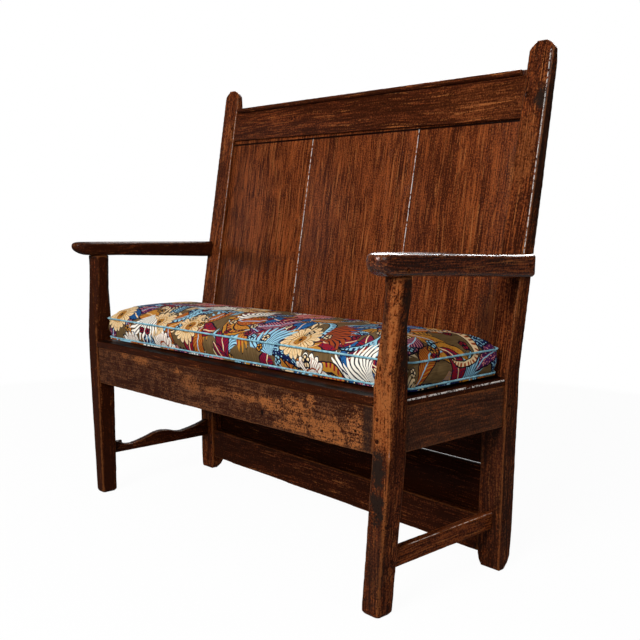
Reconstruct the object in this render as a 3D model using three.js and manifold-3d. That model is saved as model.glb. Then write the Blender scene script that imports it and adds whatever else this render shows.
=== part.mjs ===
// Settle bench: a pegged joiner's settle with a raked boarded back, open arms and a loose box cushion.
// Millimetres, +Z up, the front faces -Y and the feet stand on Z = 0.
// Every rail is tenoned into its leg or post and pegged, and the boards run in grooves.

import * as THREE from 'three';
import { mergeVertices } from 'three/addons/utils/BufferGeometryUtils.js';
import Module from 'manifold-3d';

// Overall sizes
const frameWidth = 1220; // over the outer faces of the rear posts
const frameDepth = 440; // front of the legs to the back of the posts, below the seat
const seatTop = 467.5; // at its right end
const seatDroop = 6; // the whole seat falls this much towards its left end
const armTop = 745;
const kneeHeight = 480; // where the rear posts start to lean back
const postTop = 1217;
const capBelowPosts = 60; // from the top of the posts down to the cap moulding, at the face of the posts
const rakeDegrees = 9.48;

// Fits
const clearance = 0.3; // between a piece and the hole, groove or neighbour that was cut to take it
const notchGap = 1; // between a seat plank and the leg or post it is notched round
const overrun = 6; // how far a cutter runs past the face it opens
const arris = 2; // worn edge along every leg and post

// Rear posts
const postWidth = 66;
const postDepth = 50;
const postThinning = 0.037; // how much thinner the leaning part gets per unit of height
const postCrown = 20; // rise of the rounded top over its shoulders
const heelHeight = 30; // rounding at the back of the foot
const heelCut = 26;
const postToeCut = 12;

// Front legs and arms: the old frame has racked a little, so the leg's middle is set in by other amounts at each end
const legWidth = 48;
const legDepth = 53;
const footDepth = 46;
const stumpWidth = 44; // the chamfered part between seat and arm
const stumpDepth = 51;
const stumpChamfer = 13;
const neckChamfer = 11; // what is left of the chamfer right under the arm
const neckHeight = 32;
const chamferStop = 18; // above the seat, where the chamfer starts
const chamferRun = 130; // length over which it reaches its full width
const footRound = 6;
const sideShapes = {
  left: { footInset: 35, seatInset: 28, armInset: 38, footWidth: 38, armRise: 0, armDrop: 9 },
  right: { footInset: 46, seatInset: 22, armInset: 6, footWidth: 48, armRise: 8, armDrop: 14 },
};

// Joints
const tenonLength = 26;
const tenonThickness = 9;
const tenonShoulder = 14; // rail left above and below its tenon
const pegRadius = 4;
const pegProud = 0.6;
const pegSetback = 13; // from the shoulder of the joint to the peg
const pegReach = 34;
const pegSides = 8;

// Seat
const seatThickness = 18;
const seatOverRails = 5; // how far the planks stop short of the frame's width
const seatEdge = 3; // chamfer along the front edge
const seatEndEdge = 6; // chamfer over the ends of the planks
const frontPlankDepth = 212;
const frontRailSetback = 4;
const frontRailThickness = 24;
const frontRailHeightLeft = 106;
const frontRailHeightRight = 101;
const sideRailHeight = 98;
const sideRailThickness = 22;
const bearerWidth = 44;
const bearerHeight = 40;
const backRailTop = 482;
const backRailHeight = 130;
const backRailSetback = 2;
const backRailThickness = 26;

// Arms
const armThickness = 38;
const armNoseReach = 52; // in front of the legs
const armNoseLength = 42;
const armNoseWidth = 54;
const armTailWidth = 40;
const armLap = 12; // thickness that runs past the outer side of the post
const armTailShort = 10; // how far the arm stops short of the back of the post
const armRound = 6;
const armTenonWidth = 22;
const armTenonHeight = 26;

// Back
const crestHeight = 84;
const crestDroop = 12; // the lower edge falls towards the right
const crestSetback = 3;
const crestThickness = 24;
const crestTenonHeight = 62;
const capThickness = 13;
const capOverhang = 9;
const capBackOverhang = 3;
const capReturn = 10; // the moulded edge stops this far from the posts
const capHollow = 5;
const boardSetback = 10;
const boardThickness = 14;
const boardHousing = 7; // depth of board edge in its groove
const boardGap = 2.6;
const boardLap = 9;
const boardJointLeft = -169;
const boardJointRight = 235;

// Lower back
const lowerRailFoot = 43;
const lowerRailDroop = 11;
const lowerRailHeight = 92;
const lowerRailSetback = 4;
const lowerRailThickness = 22;
const panelThickness = 12;
const panelRebate = 10;
const panelFoot = 112;
const panelSlit = 4;
const lowerPanelTop = 236;
const upperPanelTop = 362;

// Stretchers
const stretcherInset = 9; // from the outer face of the leg
const stretcherThickness = 20;
const straightFoot = 100;
const straightHeight = 42;
const wavyFoot = 114;
const wavyHeight = 42; // at its hump
const wavyPlaceShares = [0, 0.14, 0.3, 0.43, 0.55, 0.68, 0.84, 1];
const wavyHeightShares = [0.86, 0.46, 0.68, 0.99, 0.97, 0.72, 0.9, 1.26];
const wavySteps = 24;

// Cushion
const cushionShortfall = 59; // how much shorter it is than the seat planks
const cushionFrontGap = 46.5; // from the front of the legs
const cushionBackGap = 20.5; // from the face of the posts
const cushionCentreX = 23;
const cushionSkewDegrees = 1.6;
const cushionCorner = 26;
const cushionSeamLow = 12; // lower seam above the seat
const cushionSeamInset = 4; // how far the lower seam sits inside the upper one
const cushionBox = 54; // height of the boxing between the seams
const cushionCrown = 37;
const crownFullness = 4.5; // higher gives a flatter middle and steeper edges
const cushionBulge = 5;
const cushionBow = 5; // how far the long sides stand out between the corners
const cushionSag = 60; // width of the rounded edge underneath
const pipingRadius = 3.4;
const pipingSides = 6;
const cushionCornerSteps = 6;
const cushionSideSteps = 9;
const cushionEndSteps = 4;
const crownPlaceShares = [0.06, 0.16, 0.34, 0.6, 0.86];

// Finishes
const oakColour = 0x4b2614;
const darkOakColour = 0x321a10;
const pegColour = 0x25130b;
const fabricColour = 0x8d7b58;
const pipingColour = 0x8fbcc8;

const halfWidth = frameWidth / 2;
const postFace = frameDepth - postDepth;
const postInner = halfWidth - postWidth;
const capTop = postTop - capBelowPosts;
const rake = THREE.MathUtils.degToRad(rakeDegrees);
const seatUnderside = seatTop - seatThickness;
const railTop = seatUnderside - clearance;
const armUnderside = armTop - armThickness;

const wasm = await Module();
wasm.setup();

// Turns a three.js geometry into a solid that can be joined and cut.
function solidOf(geometry) {
  const bare = geometry.clone();
  bare.deleteAttribute('normal');
  bare.deleteAttribute('uv');
  const merged = mergeVertices(bare, clearance / 100);
  return new wasm.Manifold(new wasm.Mesh({
    numProp: 3,
    vertProperties: new Float32Array(merged.attributes.position.array),
    triVerts: new Uint32Array(merged.index.array),
  }));
}

// Turns a solid back into a flat shaded geometry.
function geometryOf(solid) {
  const mesh = solid.getMesh();
  const geometry = new THREE.BufferGeometry();
  geometry.setAttribute('position', new THREE.BufferAttribute(new Float32Array(mesh.vertProperties), 3));
  geometry.setIndex(new THREE.BufferAttribute(new Uint32Array(mesh.triVerts), 1));
  return geometry;
}

// A box from its lowest to its highest corner, grown on every side by grow.
function boxGeometry([x0, y0, z0], [x1, y1, z1], grow = 0) {
  const size = [x1 - x0 + 2 * grow, y1 - y0 + 2 * grow, z1 - z0 + 2 * grow];
  return new THREE.BoxGeometry(...size).translate((x0 + x1) / 2, (y0 + y1) / 2, (z0 + z1) / 2);
}

const box = (low, high, grow = 0) => solidOf(boxGeometry(low, high, grow));

// An outline of [y, z] points carried along X, or of [x, z] points carried along Y.
function prismAlongX(outline, x0, x1) {
  const shape = new THREE.Shape(outline.map(([y, z]) => new THREE.Vector2(y, z)));
  const turn = new THREE.Matrix4().makeBasis(
    new THREE.Vector3(0, 1, 0), new THREE.Vector3(0, 0, 1), new THREE.Vector3(1, 0, 0));
  const depth = x1 - x0;
  return new THREE.ExtrudeGeometry(shape, { depth, bevelEnabled: false }).applyMatrix4(turn).translate(x0, 0, 0);
}

function prismAlongY(outline, y0, y1) {
  const shape = new THREE.Shape(outline.map(([x, z]) => new THREE.Vector2(x, z)));
  const turn = new THREE.Matrix4().makeBasis(
    new THREE.Vector3(1, 0, 0), new THREE.Vector3(0, 0, 1), new THREE.Vector3(0, -1, 0));
  const depth = y1 - y0;
  return new THREE.ExtrudeGeometry(shape, { depth, bevelEnabled: false }).applyMatrix4(turn).translate(0, y1, 0);
}

// A closed skin through rings of equally many points, with a flat end on the first and the last.
function loftGeometry(rings) {
  const count = rings[0].length;
  const points = rings.flat();
  const index = [];
  for (let level = 0; level + 1 < rings.length; level += 1) {
    for (let step = 0; step < count; step += 1) {
      const next = (step + 1) % count;
      const a = level * count + step;
      const b = level * count + next;
      index.push(a, b, b + count, a, b + count, a + count);
    }
  }
  const last = (rings.length - 1) * count;
  for (let step = 1; step + 1 < count; step += 1) {
    index.push(0, step + 1, step, last, last + step, last + step + 1);
  }
  const geometry = new THREE.BufferGeometry().setFromPoints(points);
  geometry.setIndex(index);
  if (signedVolume(points, index) < 0) {
    geometry.setIndex(index.map((_, i) => index[i - (i % 3) + [0, 2, 1][i % 3]]));
  }
  return geometry;
}

function signedVolume(points, index) {
  let volume = 0;
  for (let i = 0; i < index.length; i += 3) {
    const [a, b, c] = [points[index[i]], points[index[i + 1]], points[index[i + 2]]];
    volume += a.dot(b.clone().cross(c)) / 6;
  }
  return volume;
}

// Eight points round the rectangle low to high with its corners cut, placed by place(a, b).
function chamferedRing([a0, b0], [a1, b1], cut, place) {
  const corners = [
    [a0 + cut, b0], [a1 - cut, b0], [a1, b0 + cut], [a1, b1 - cut],
    [a1 - cut, b1], [a0 + cut, b1], [a0, b1 - cut], [a0, b0 + cut],
  ];
  return corners.map(([a, b]) => place(a, b));
}

// The leaning frame of the back: X across, Y into the boards, Z up along the face of the posts.
const leaning = new THREE.Matrix4().makeBasis(
  new THREE.Vector3(1, 0, 0),
  new THREE.Vector3(0, Math.cos(rake), -Math.sin(rake)),
  new THREE.Vector3(0, Math.sin(rake), Math.cos(rake)),
).setPosition(0, postFace, kneeHeight);
const lean = (geometry) => solidOf(geometry.applyMatrix4(leaning));
const alongPost = (height) => (height - kneeHeight) / Math.cos(rake);
const postFaceAt = (z) => postFace + Math.max(0, z - kneeHeight) * Math.tan(rake);
const postBackAt = (z) => postFaceAt(z) + postDepth - Math.max(0, z - kneeHeight) * postThinning;

// Shares of the rounded top: rise over the shoulder, then what each side, the back and the front draw in.
const postTopShares = [
  [0, 0, 0.12, 0], [0.4, 0.07, 0.2, 0.3], [0.75, 0.18, 0.33, 0.7], [0.93, 0.28, 0.44, 1.2], [1, 0.38, 0.54, 2],
];

// Rear post of one side, as rings from the heel to the rounded top.
function postSolid(side, grow = 0) {
  const shoulder = postTop - postCrown;
  const levels = [
    { z: 0, inner: postToeCut, back: heelCut, front: arris },
    { z: heelHeight * 0.4, inner: postToeCut / 2, back: heelCut / 2, front: arris / 2 },
    { z: heelHeight, inner: arris, back: arris * 2, front: 0 },
    { z: heelHeight * 3, inner: 0, back: 0, front: 0 },
    { z: kneeHeight, inner: 0, back: 0, front: 0 },
    { z: shoulder - postCrown * 1.5, inner: 0, back: 0, front: 0 },
  ];
  for (const [rise, inner, back, front] of postTopShares) {
    levels.push({
      z: shoulder + postCrown * rise, inner: postWidth * inner, back: postDepth * back, front: arris * front,
    });
  }
  const rings = levels.map(({ z, inner, back, front }) => {
    const outer = z > shoulder ? inner : 0;
    const xInner = side * (postInner + inner - grow);
    const xOuter = side * (halfWidth - outer + grow);
    const low = [Math.min(xInner, xOuter), postFaceAt(z) + front - grow];
    const high = [Math.max(xInner, xOuter), postBackAt(z) - back + grow];
    return chamferedRing(low, high, arris, (x, y) => new THREE.Vector3(x, y, z));
  });
  return solidOf(loftGeometry(rings));
}

// Front leg of one side: tapered foot, square at the rails, chamfered up to the arm.
function legSolid(centres, grow = 0, top = armUnderside - clearance) {
  const railFoot = railTop - sideRailHeight;
  const stop = seatTop + chamferStop;
  const full = stop + chamferRun;
  const levels = [
    { z: 0, x: centres.foot, width: centres.footWidth - footRound, depth: footDepth - footRound, cut: footRound },
    { z: footRound, x: centres.foot, width: centres.footWidth, depth: footDepth, cut: arris },
    { z: railFoot, x: centres.seat, width: legWidth, depth: legDepth, cut: arris },
    { z: stop, x: centres.seat, width: legWidth, depth: legDepth, cut: arris },
    { z: full, x: (centres.seat + centres.arm) / 2, width: stumpWidth, depth: stumpDepth, cut: stumpChamfer },
    { z: top - neckHeight, x: centres.arm, width: stumpWidth, depth: stumpDepth, cut: stumpChamfer },
    { z: top, x: centres.arm, width: stumpWidth, depth: stumpDepth, cut: neckChamfer },
  ];
  const rings = levels.map(({ z, x, width, depth, cut }) => {
    const front = z === 0 ? footRound / 2 : 0;
    const low = [x - width / 2 - grow, front - grow];
    const high = [x + width / 2 + grow, front + depth + grow];
    return chamferedRing(low, high, cut, (a, b) => new THREE.Vector3(a, b, z));
  });
  return solidOf(loftGeometry(rings));
}

// Centre line, half width and rise of the top of an arm at a place along its length.
function armPlan(side, centres, y) {
  const tail = side * (halfWidth + armLap - armTailWidth / 2);
  const share = THREE.MathUtils.clamp((y - legDepth / 2) / (postFace - legDepth / 2), 0, 1);
  return {
    x: THREE.MathUtils.lerp(centres.arm, tail, share),
    half: THREE.MathUtils.lerp(armNoseWidth, armTailWidth, share) / 2,
    rise: centres.armRise * (1 - share),
  };
}

// Shares of the nose: place along it, width, how far the underside lifts and the top drops.
const noseShares = [
  [0, 0.36, 0.58, 0.2], [0.08, 0.64, 0.44, 0.09], [0.28, 0.85, 0.27, 0.02], [0.6, 0.97, 0.11, 0], [1, 1, 0.02, 0],
];

// Arm of one side, as rings from the rounded nose back along the outer side of the post.
function armBlank(side, centres) {
  const noseEnd = armNoseLength - armNoseReach;
  const tailEnd = postBackAt(armTop) - armTailShort;
  const levels = noseShares.map(([place, width, lift, dip]) => ({
    y: armNoseLength * place - armNoseReach, width, lift: armThickness * lift, dip: armThickness * dip,
  }));
  const alongShares = [[0.25, 0], [0.5, 0.3], [0.8, 0.65], [1, 0.93]];
  for (const [place, drop] of alongShares) {
    levels.push({ y: THREE.MathUtils.lerp(noseEnd, postFace, place), width: 1, lift: -centres.armDrop * drop, dip: 0 });
  }
  levels.push({ y: tailEnd, width: 1, lift: -centres.armDrop, dip: 0 });
  const rings = levels.map(({ y, width, lift, dip }) => {
    const plan = armPlan(side, centres, y);
    const half = plan.half * width;
    const low = [plan.x - half, armUnderside + lift];
    const high = [plan.x + half, armTop + plan.rise - dip];
    return chamferedRing(low, high, armRound * width, (x, z) => new THREE.Vector3(x, y, z));
  });
  return solidOf(loftGeometry(rings));
}

// A peg, or the hole it was driven into, along x, y or the lean of the back.
function pegSolid({ axis, at, length }, grow = 0) {
  const rod = new THREE.CylinderGeometry(pegRadius + grow, pegRadius + grow, length + 2 * grow, pegSides);
  if (axis === 'x') {
    rod.rotateZ(Math.PI / 2);
  }
  rod.translate(...at);
  return axis === 'lean' ? lean(rod) : solidOf(rod);
}

const pieces = new Map();
const finishes = new Map();

function keep(name, solid, colour = oakColour) {
  pieces.set(name, solid);
  finishes.set(name, colour);
}

function cut(name, cutter) {
  pieces.set(name, pieces.get(name).subtract(cutter));
}

// Adds a tenon to its rail and cuts the mortise for it.
function tenon(rail, holder, low, high, make = (a, b, grow) => box(a, b, grow)) {
  pieces.set(rail, pieces.get(rail).add(make(low, high, 0)));
  cut(holder, make(low, high, clearance));
}

function peg(name, spec, through) {
  keep(name, pegSolid(spec), pegColour);
  for (const piece of through) {
    cut(piece, pegSolid(spec, clearance));
  }
}

function sideOf(name, sign) {
  const { footInset, seatInset, armInset, ...shape } = sideShapes[name];
  const [foot, seat, arm] = [footInset, seatInset, armInset].map((inset) => sign * (halfWidth - inset));
  return { name, sign, centres: { ...shape, foot, seat, arm } };
}

const sides = [sideOf('left', -1), sideOf('right', 1)];

// The seat and all it rests on fall a little towards the left
const plankEnd = halfWidth - seatOverRails;
const seatSlope = seatDroop / (2 * plankEnd);
const seatFall = (x) => seatSlope * (x - plankEnd);
const sloping = new THREE.Matrix4().set(
  1, 0, 0, 0,
  0, 1, 0, 0,
  seatSlope, 0, 1, seatFall(0),
  0, 0, 0, 1,
);
const slope = (geometry) => solidOf(geometry.applyMatrix4(sloping));

// Outer face of a leg between foot and rail.
function lowLegFace({ sign, centres }, z) {
  const share = z / (railTop - sideRailHeight);
  const width = THREE.MathUtils.lerp(centres.footWidth, legWidth, share);
  return THREE.MathUtils.lerp(centres.foot, centres.seat, share) + sign * width / 2;
}

const legInner = ({ sign, centres }) => centres.seat - sign * legWidth / 2;
const legOuter = ({ sign, centres }) => centres.seat + sign * legWidth / 2;

// Low and high corner of a box given by any two opposite corners.
function corners(a, b) {
  return [a.map((value, i) => Math.min(value, b[i])), a.map((value, i) => Math.max(value, b[i]))];
}

for (const side of sides) {
  keep(`rear_post_${side.name}`, postSolid(side.sign));
  keep(`front_leg_${side.name}`, legSolid(side.centres));
}

// Arms, cut to clear the posts and mortised for the legs
for (const side of sides) {
  const arm = `arm_${side.name}`;
  const leg = `front_leg_${side.name}`;
  keep(arm, armBlank(side.sign, side.centres).subtract(postSolid(side.sign, clearance)));
  const half = armTenonWidth / 2;
  const middle = stumpDepth / 2;
  const low = [side.centres.arm - half, middle - half, armUnderside - neckHeight];
  const high = [side.centres.arm + half, middle + half, armUnderside + armTenonHeight];
  tenon(leg, arm, low, high);
}

// Front seat rail between the legs
const [leftSide, rightSide] = sides;
const frontRailBack = frontRailSetback + frontRailThickness;
const frontRailOutline = [
  [leftSide.centres.seat, railTop - frontRailHeightLeft],
  [rightSide.centres.seat, railTop - frontRailHeightRight],
  [rightSide.centres.seat, railTop],
  [leftSide.centres.seat, railTop],
];
keep('front_seat_rail', sides.reduce(
  (rail, side) => rail.subtract(legSolid(side.centres, clearance)),
  slope(prismAlongY(frontRailOutline, frontRailSetback, frontRailBack))));
for (const side of sides) {
  const front = frontRailSetback + (frontRailThickness - tenonThickness) / 2;
  const [low, high] = corners(
    [legInner(side) - side.sign * tenonShoulder, front, railTop - frontRailHeightRight + tenonShoulder],
    [legInner(side) + side.sign * tenonLength, front + tenonThickness, railTop - tenonShoulder]);
  tenon('front_seat_rail', `front_leg_${side.name}`, low, high);
}

// Side rails and stretchers run from the back of each leg to the face of each post
function sideMember(name, side, outline, xOuter, thickness, tenonFoot, tenonTop, make = solidOf) {
  const [x0, x1] = [xOuter - side.sign * thickness, xOuter].sort((a, b) => a - b);
  const leg = `front_leg_${side.name}`;
  const post = `rear_post_${side.name}`;
  keep(name, make(prismAlongX(outline, x0, x1))
    .subtract(legSolid(side.centres, clearance))
    .subtract(postSolid(side.sign, clearance)));
  const middle = (x0 + x1) / 2;
  const half = tenonThickness / 2;
  tenon(name, leg, [middle - half, legDepth - tenonLength, tenonFoot], [middle + half, legDepth + tenonLength, tenonTop]);
  tenon(name, post, [middle - half, postFace - tenonLength, tenonFoot], [middle + half, postFace + tenonLength, tenonTop]);
}

const memberStart = legDepth - tenonLength / 2;
const memberEnd = postFace + tenonLength / 2;
const plainOutline = (foot, top) => [[memberStart, foot], [memberEnd, foot], [memberEnd, top], [memberStart, top]];

function wavyOutline() {
  const start = legDepth;
  const length = postFace - legDepth;
  const controls = wavyPlaceShares.map((place, i) => new THREE.Vector2(
    start + length * place, wavyFoot + wavyHeight * wavyHeightShares[i]));
  const top = new THREE.SplineCurve(controls).getPoints(wavySteps).map((point) => [point.x, point.y]);
  const [first, last] = [top[0][1], top[top.length - 1][1]];
  return [
    [memberStart, wavyFoot], [memberEnd, wavyFoot], [memberEnd, last],
    ...top.slice().reverse(), [memberStart, first],
  ];
}

for (const side of sides) {
  const foot = railTop - sideRailHeight;
  const xRail = side.sign * (halfWidth - seatOverRails);
  sideMember(`side_seat_rail_${side.name}`, side, plainOutline(foot, railTop), xRail, sideRailThickness,
    foot + tenonShoulder, railTop - tenonShoulder - seatDroop, slope);
}
const straightTop = straightFoot + straightHeight;
const straightMiddle = straightFoot + straightHeight / 2;
const wavyMiddle = wavyFoot + wavyHeight / 2;
const stretcherFace = (side, z) => lowLegFace(side, z) - side.sign * stretcherInset;
const stretcherShoulder = tenonShoulder / 2;
sideMember('side_stretcher_right', rightSide, plainOutline(straightFoot, straightTop),
  stretcherFace(rightSide, straightMiddle), stretcherThickness,
  straightFoot + stretcherShoulder, straightTop - stretcherShoulder);
sideMember('side_stretcher_left', leftSide, wavyOutline(),
  stretcherFace(leftSide, wavyMiddle), stretcherThickness,
  wavyFoot + stretcherShoulder, wavyFoot + wavyHeight - stretcherShoulder);

// Rails between the rear posts
function backMember(name, outline, front, thickness, tenonFoot, tenonTop) {
  keep(name, solidOf(prismAlongY(outline, front, front + thickness)));
  for (const side of sides) {
    const face = front + (thickness - tenonThickness) / 2;
    const [low, high] = corners(
      [side.sign * (postInner - tenonShoulder), face, tenonFoot],
      [side.sign * (postInner + tenonLength), face + tenonThickness, tenonTop]);
    tenon(name, `rear_post_${side.name}`, low, high);
  }
}

const railEnd = postInner - clearance;
const backRailFoot = backRailTop - backRailHeight;
const levelOutline = (foot, top) => [[-railEnd, foot], [railEnd, foot], [railEnd, top], [-railEnd, top]];
backMember('seat_back_rail', levelOutline(backRailFoot, backRailTop), postFace + backRailSetback,
  backRailThickness, backRailFoot + tenonShoulder, seatUnderside);
const lowerRight = lowerRailFoot - lowerRailDroop;
const lowerOutline = [
  [-railEnd, lowerRailFoot], [railEnd, lowerRight],
  [railEnd, lowerRight + lowerRailHeight], [-railEnd, lowerRailFoot + lowerRailHeight],
];
backMember('lower_back_rail', lowerOutline, postFace + lowerRailSetback, lowerRailThickness,
  lowerRailFoot + tenonShoulder, lowerRight + lowerRailHeight - tenonShoulder);

// Two horizontal boards close the lower back, let into the back of the posts with a slit between them
const panels = [
  { name: 'lower_back_panel', foot: panelFoot, top: lowerPanelTop },
  { name: 'upper_back_panel', foot: lowerPanelTop + panelSlit, top: upperPanelTop },
];
const panelEnd = postInner + panelRebate;
for (const panel of panels) {
  const low = [-panelEnd, frameDepth - panelThickness, panel.foot];
  keep(panel.name, box(low, [panelEnd, frameDepth, panel.top]), darkOakColour);
  for (const side of sides) {
    cut(`rear_post_${side.name}`, box(low, [panelEnd, frameDepth + overrun, panel.top], clearance));
  }
}

// Crest rail and its cap, in the leaning frame
const crestTop = alongPost(capTop) - capThickness - clearance;
const crestFootRight = crestTop - crestHeight - crestDroop;
const crestFootLeft = crestTop - crestHeight;
const crestOutline = [[-railEnd, crestFootLeft], [railEnd, crestFootRight], [railEnd, crestTop], [-railEnd, crestTop]];
keep('crest_rail', lean(prismAlongY(crestOutline, crestSetback, crestSetback + crestThickness)));
const crestTenonTop = crestTop - tenonShoulder;
const leaningBox = (low, high, grow) => lean(boxGeometry(low, high, grow));
for (const side of sides) {
  const face = crestSetback + (crestThickness - tenonThickness) / 2;
  const [low, high] = corners(
    [side.sign * (postInner - tenonShoulder), face, crestTenonTop - crestTenonHeight],
    [side.sign * (postInner + tenonLength), face + tenonThickness, crestTenonTop]);
  tenon('crest_rail', `rear_post_${side.name}`, low, high, leaningBox);
}

const capFoot = crestTop + clearance;
const capFront = crestSetback - capOverhang;
const capBack = crestSetback + crestThickness + capBackOverhang;
const capOutline = [
  [capFront + capHollow, capFoot], [capBack, capFoot], [capBack, capFoot + capThickness],
  [capFront + arris, capFoot + capThickness], [capFront, capFoot + capThickness - arris],
  [capFront, capFoot + capHollow],
];
let cap = lean(prismAlongX(capOutline, -railEnd, railEnd));
for (const side of sides) {
  const [low, high] = corners(
    [side.sign * (postInner - capReturn), capFront - overrun, capFoot - overrun],
    [side.sign * (postInner + overrun), crestSetback, capFoot + capThickness + overrun]);
  cap = cap.subtract(leaningBox(low, high, 0));
}
keep('crest_cap_moulding', cap);

// Back boards: half lapped to each other, let into posts, crest and seat back rail
const boardFront = boardSetback;
const boardBack = boardSetback + boardThickness;
const boardMiddle = (boardFront + boardBack) / 2;
const boardFoot = alongPost(backRailTop) - boardHousing;
const boardTop = crestFootLeft + boardHousing;
const boardEnd = postInner + boardHousing;

// Section of one board between two joints, seen from above: it laps behind its right neighbour.
function boardOutline(x0, x1, lapLeft, lapRight) {
  const leftFront = lapLeft ? x0 + boardGap / 2 : x0;
  const leftBack = lapLeft ? x0 + boardLap + boardGap : x0;
  const rightFront = lapRight ? x1 - boardGap / 2 : x1;
  const rightBack = lapRight ? x1 + boardLap : x1;
  const outline = [[leftFront, boardFront], [rightFront, boardFront]];
  if (lapRight) {
    outline.push([rightFront, boardMiddle + clearance], [rightBack, boardMiddle + clearance]);
  }
  outline.push([rightBack, boardBack], [leftBack, boardBack]);
  if (lapLeft) {
    outline.push([leftBack, boardMiddle - clearance], [leftFront, boardMiddle - clearance]);
  }
  return outline;
}

const boards = [
  { name: 'back_board_left', from: -boardEnd, to: boardJointLeft, lapLeft: false, lapRight: true },
  { name: 'back_board_middle', from: boardJointLeft, to: boardJointRight, lapLeft: true, lapRight: true },
  { name: 'back_board_right', from: boardJointRight, to: boardEnd, lapLeft: true, lapRight: false },
];
for (const { name, from, to, lapLeft, lapRight } of boards) {
  const outline = boardOutline(from, to, lapLeft, lapRight);
  const shape = new THREE.Shape(outline.map(([x, y]) => new THREE.Vector2(x, y)));
  const depth = boardTop - boardFoot;
  keep(name, lean(new THREE.ExtrudeGeometry(shape, { depth, bevelEnabled: false }).translate(0, 0, boardFoot)));
}
const boardGroove = leaningBox([-boardEnd, boardFront, boardFoot], [boardEnd, boardBack, boardTop], clearance);
for (const holder of ['rear_post_left', 'rear_post_right', 'crest_rail', 'seat_back_rail']) {
  cut(holder, boardGroove);
}

// Seat planks, notched round the legs and posts, and the bearer below them
const frontPlankOutline = [
  [0, seatUnderside], [frontPlankDepth, seatUnderside], [frontPlankDepth, seatTop],
  [seatEdge, seatTop], [0, seatTop - seatEdge],
];
const plankEndOutline = [
  [-plankEnd, seatUnderside], [plankEnd, seatUnderside], [plankEnd, seatTop - seatEndEdge],
  [plankEnd - seatEndEdge, seatTop], [seatEndEdge - plankEnd, seatTop], [-plankEnd, seatTop - seatEndEdge],
];
const rearPlankFront = frontPlankDepth + clearance;
const rearPlankBack = postFace + backRailSetback - clearance;
keep('seat_plank_front', sides.reduce(
  (plank, side) => plank.subtract(legSolid(side.centres, notchGap)),
  slope(prismAlongX(frontPlankOutline, -plankEnd, plankEnd))
    .intersect(slope(prismAlongY(plankEndOutline, 0, frontPlankDepth)))));
keep('seat_plank_rear', sides.reduce(
  (plank, side) => plank.subtract(postSolid(side.sign, notchGap)),
  slope(prismAlongY(plankEndOutline, rearPlankFront, rearPlankBack))));
keep('seat_bearer', slope(boxGeometry(
  [-bearerWidth / 2, frontRailBack + clearance, railTop - bearerHeight],
  [bearerWidth / 2, rearPlankBack, railTop])), darkOakColour);

// Pegs, each driven through its joint
const pegInX = (face, sign, y, z) => ({
  axis: 'x', at: [face + sign * (pegProud - pegReach / 2), y, z], length: pegReach });
const pegInY = (face, x, z) => ({ axis: 'y', at: [x, face - pegProud + pegReach / 2, z], length: pegReach });
const sideRailMiddle = railTop - sideRailHeight / 2;
const crestMiddle = crestTenonTop - crestTenonHeight / 2;

for (const side of sides) {
  const { name, sign, centres } = side;
  const leg = `front_leg_${name}`;
  const post = `rear_post_${name}`;
  const jointX = legInner(side) + sign * pegSetback;
  const railPegs = [
    { place: 'upper', z: railTop - frontRailHeightRight / 4 },
    { place: 'lower', z: railTop - frontRailHeightRight * 0.7 },
  ];
  for (const { place, z } of railPegs) {
    peg(`front_rail_peg_${name}_${place}`, pegInY(0, jointX, z), [leg, 'front_seat_rail']);
  }
  const rail = `side_seat_rail_${name}`;
  peg(`side_rail_front_peg_${name}`, pegInX(legOuter(side), sign, legDepth - pegSetback, sideRailMiddle), [leg, rail]);
  peg(`side_rail_rear_peg_${name}`, pegInX(sign * halfWidth, sign, postFace + pegSetback, sideRailMiddle), [post, rail]);
  const stretcher = `side_stretcher_${name}`;
  const z = sign < 0 ? wavyMiddle : straightMiddle;
  peg(`stretcher_front_peg_${name}`, pegInX(lowLegFace(side, z), sign, footDepth - pegSetback, z), [leg, stretcher]);
  peg(`stretcher_rear_peg_${name}`, pegInX(sign * halfWidth, sign, postFace + pegSetback, z), [post, stretcher]);
  const backX = sign * (postInner + pegSetback);
  peg(`lower_rail_peg_${name}`, pegInY(postFace, backX, lowerRailFoot + lowerRailHeight / 2), [post, 'lower_back_rail']);
  peg(`seat_back_rail_peg_${name}`, pegInY(postFace, backX, railTop - sideRailHeight / 4), [post, 'seat_back_rail']);
  const crestDepth = (postDepth - (capTop - kneeHeight) * postThinning) * Math.cos(rake);
  const crestPeg = { axis: 'lean', at: [backX, crestDepth / 2 - pegProud, crestMiddle], length: crestDepth };
  peg(`crest_peg_${name}`, crestPeg, [post, 'crest_rail']);
  const armZ = armUnderside + armTenonHeight / 2;
  const noseFace = centres.arm + sign * armNoseWidth / 2;
  peg(`arm_front_peg_${name}`, pegInX(noseFace, sign, stumpDepth / 2, armZ), [`arm_${name}`, leg]);
  const tailY = (postFaceAt(armZ) + postBackAt(armZ)) / 2 - armTailShort / 2;
  peg(`arm_rear_peg_${name}`, pegInX(sign * (halfWidth + armLap), sign, tailY, armZ), [`arm_${name}`, post]);
}

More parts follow.
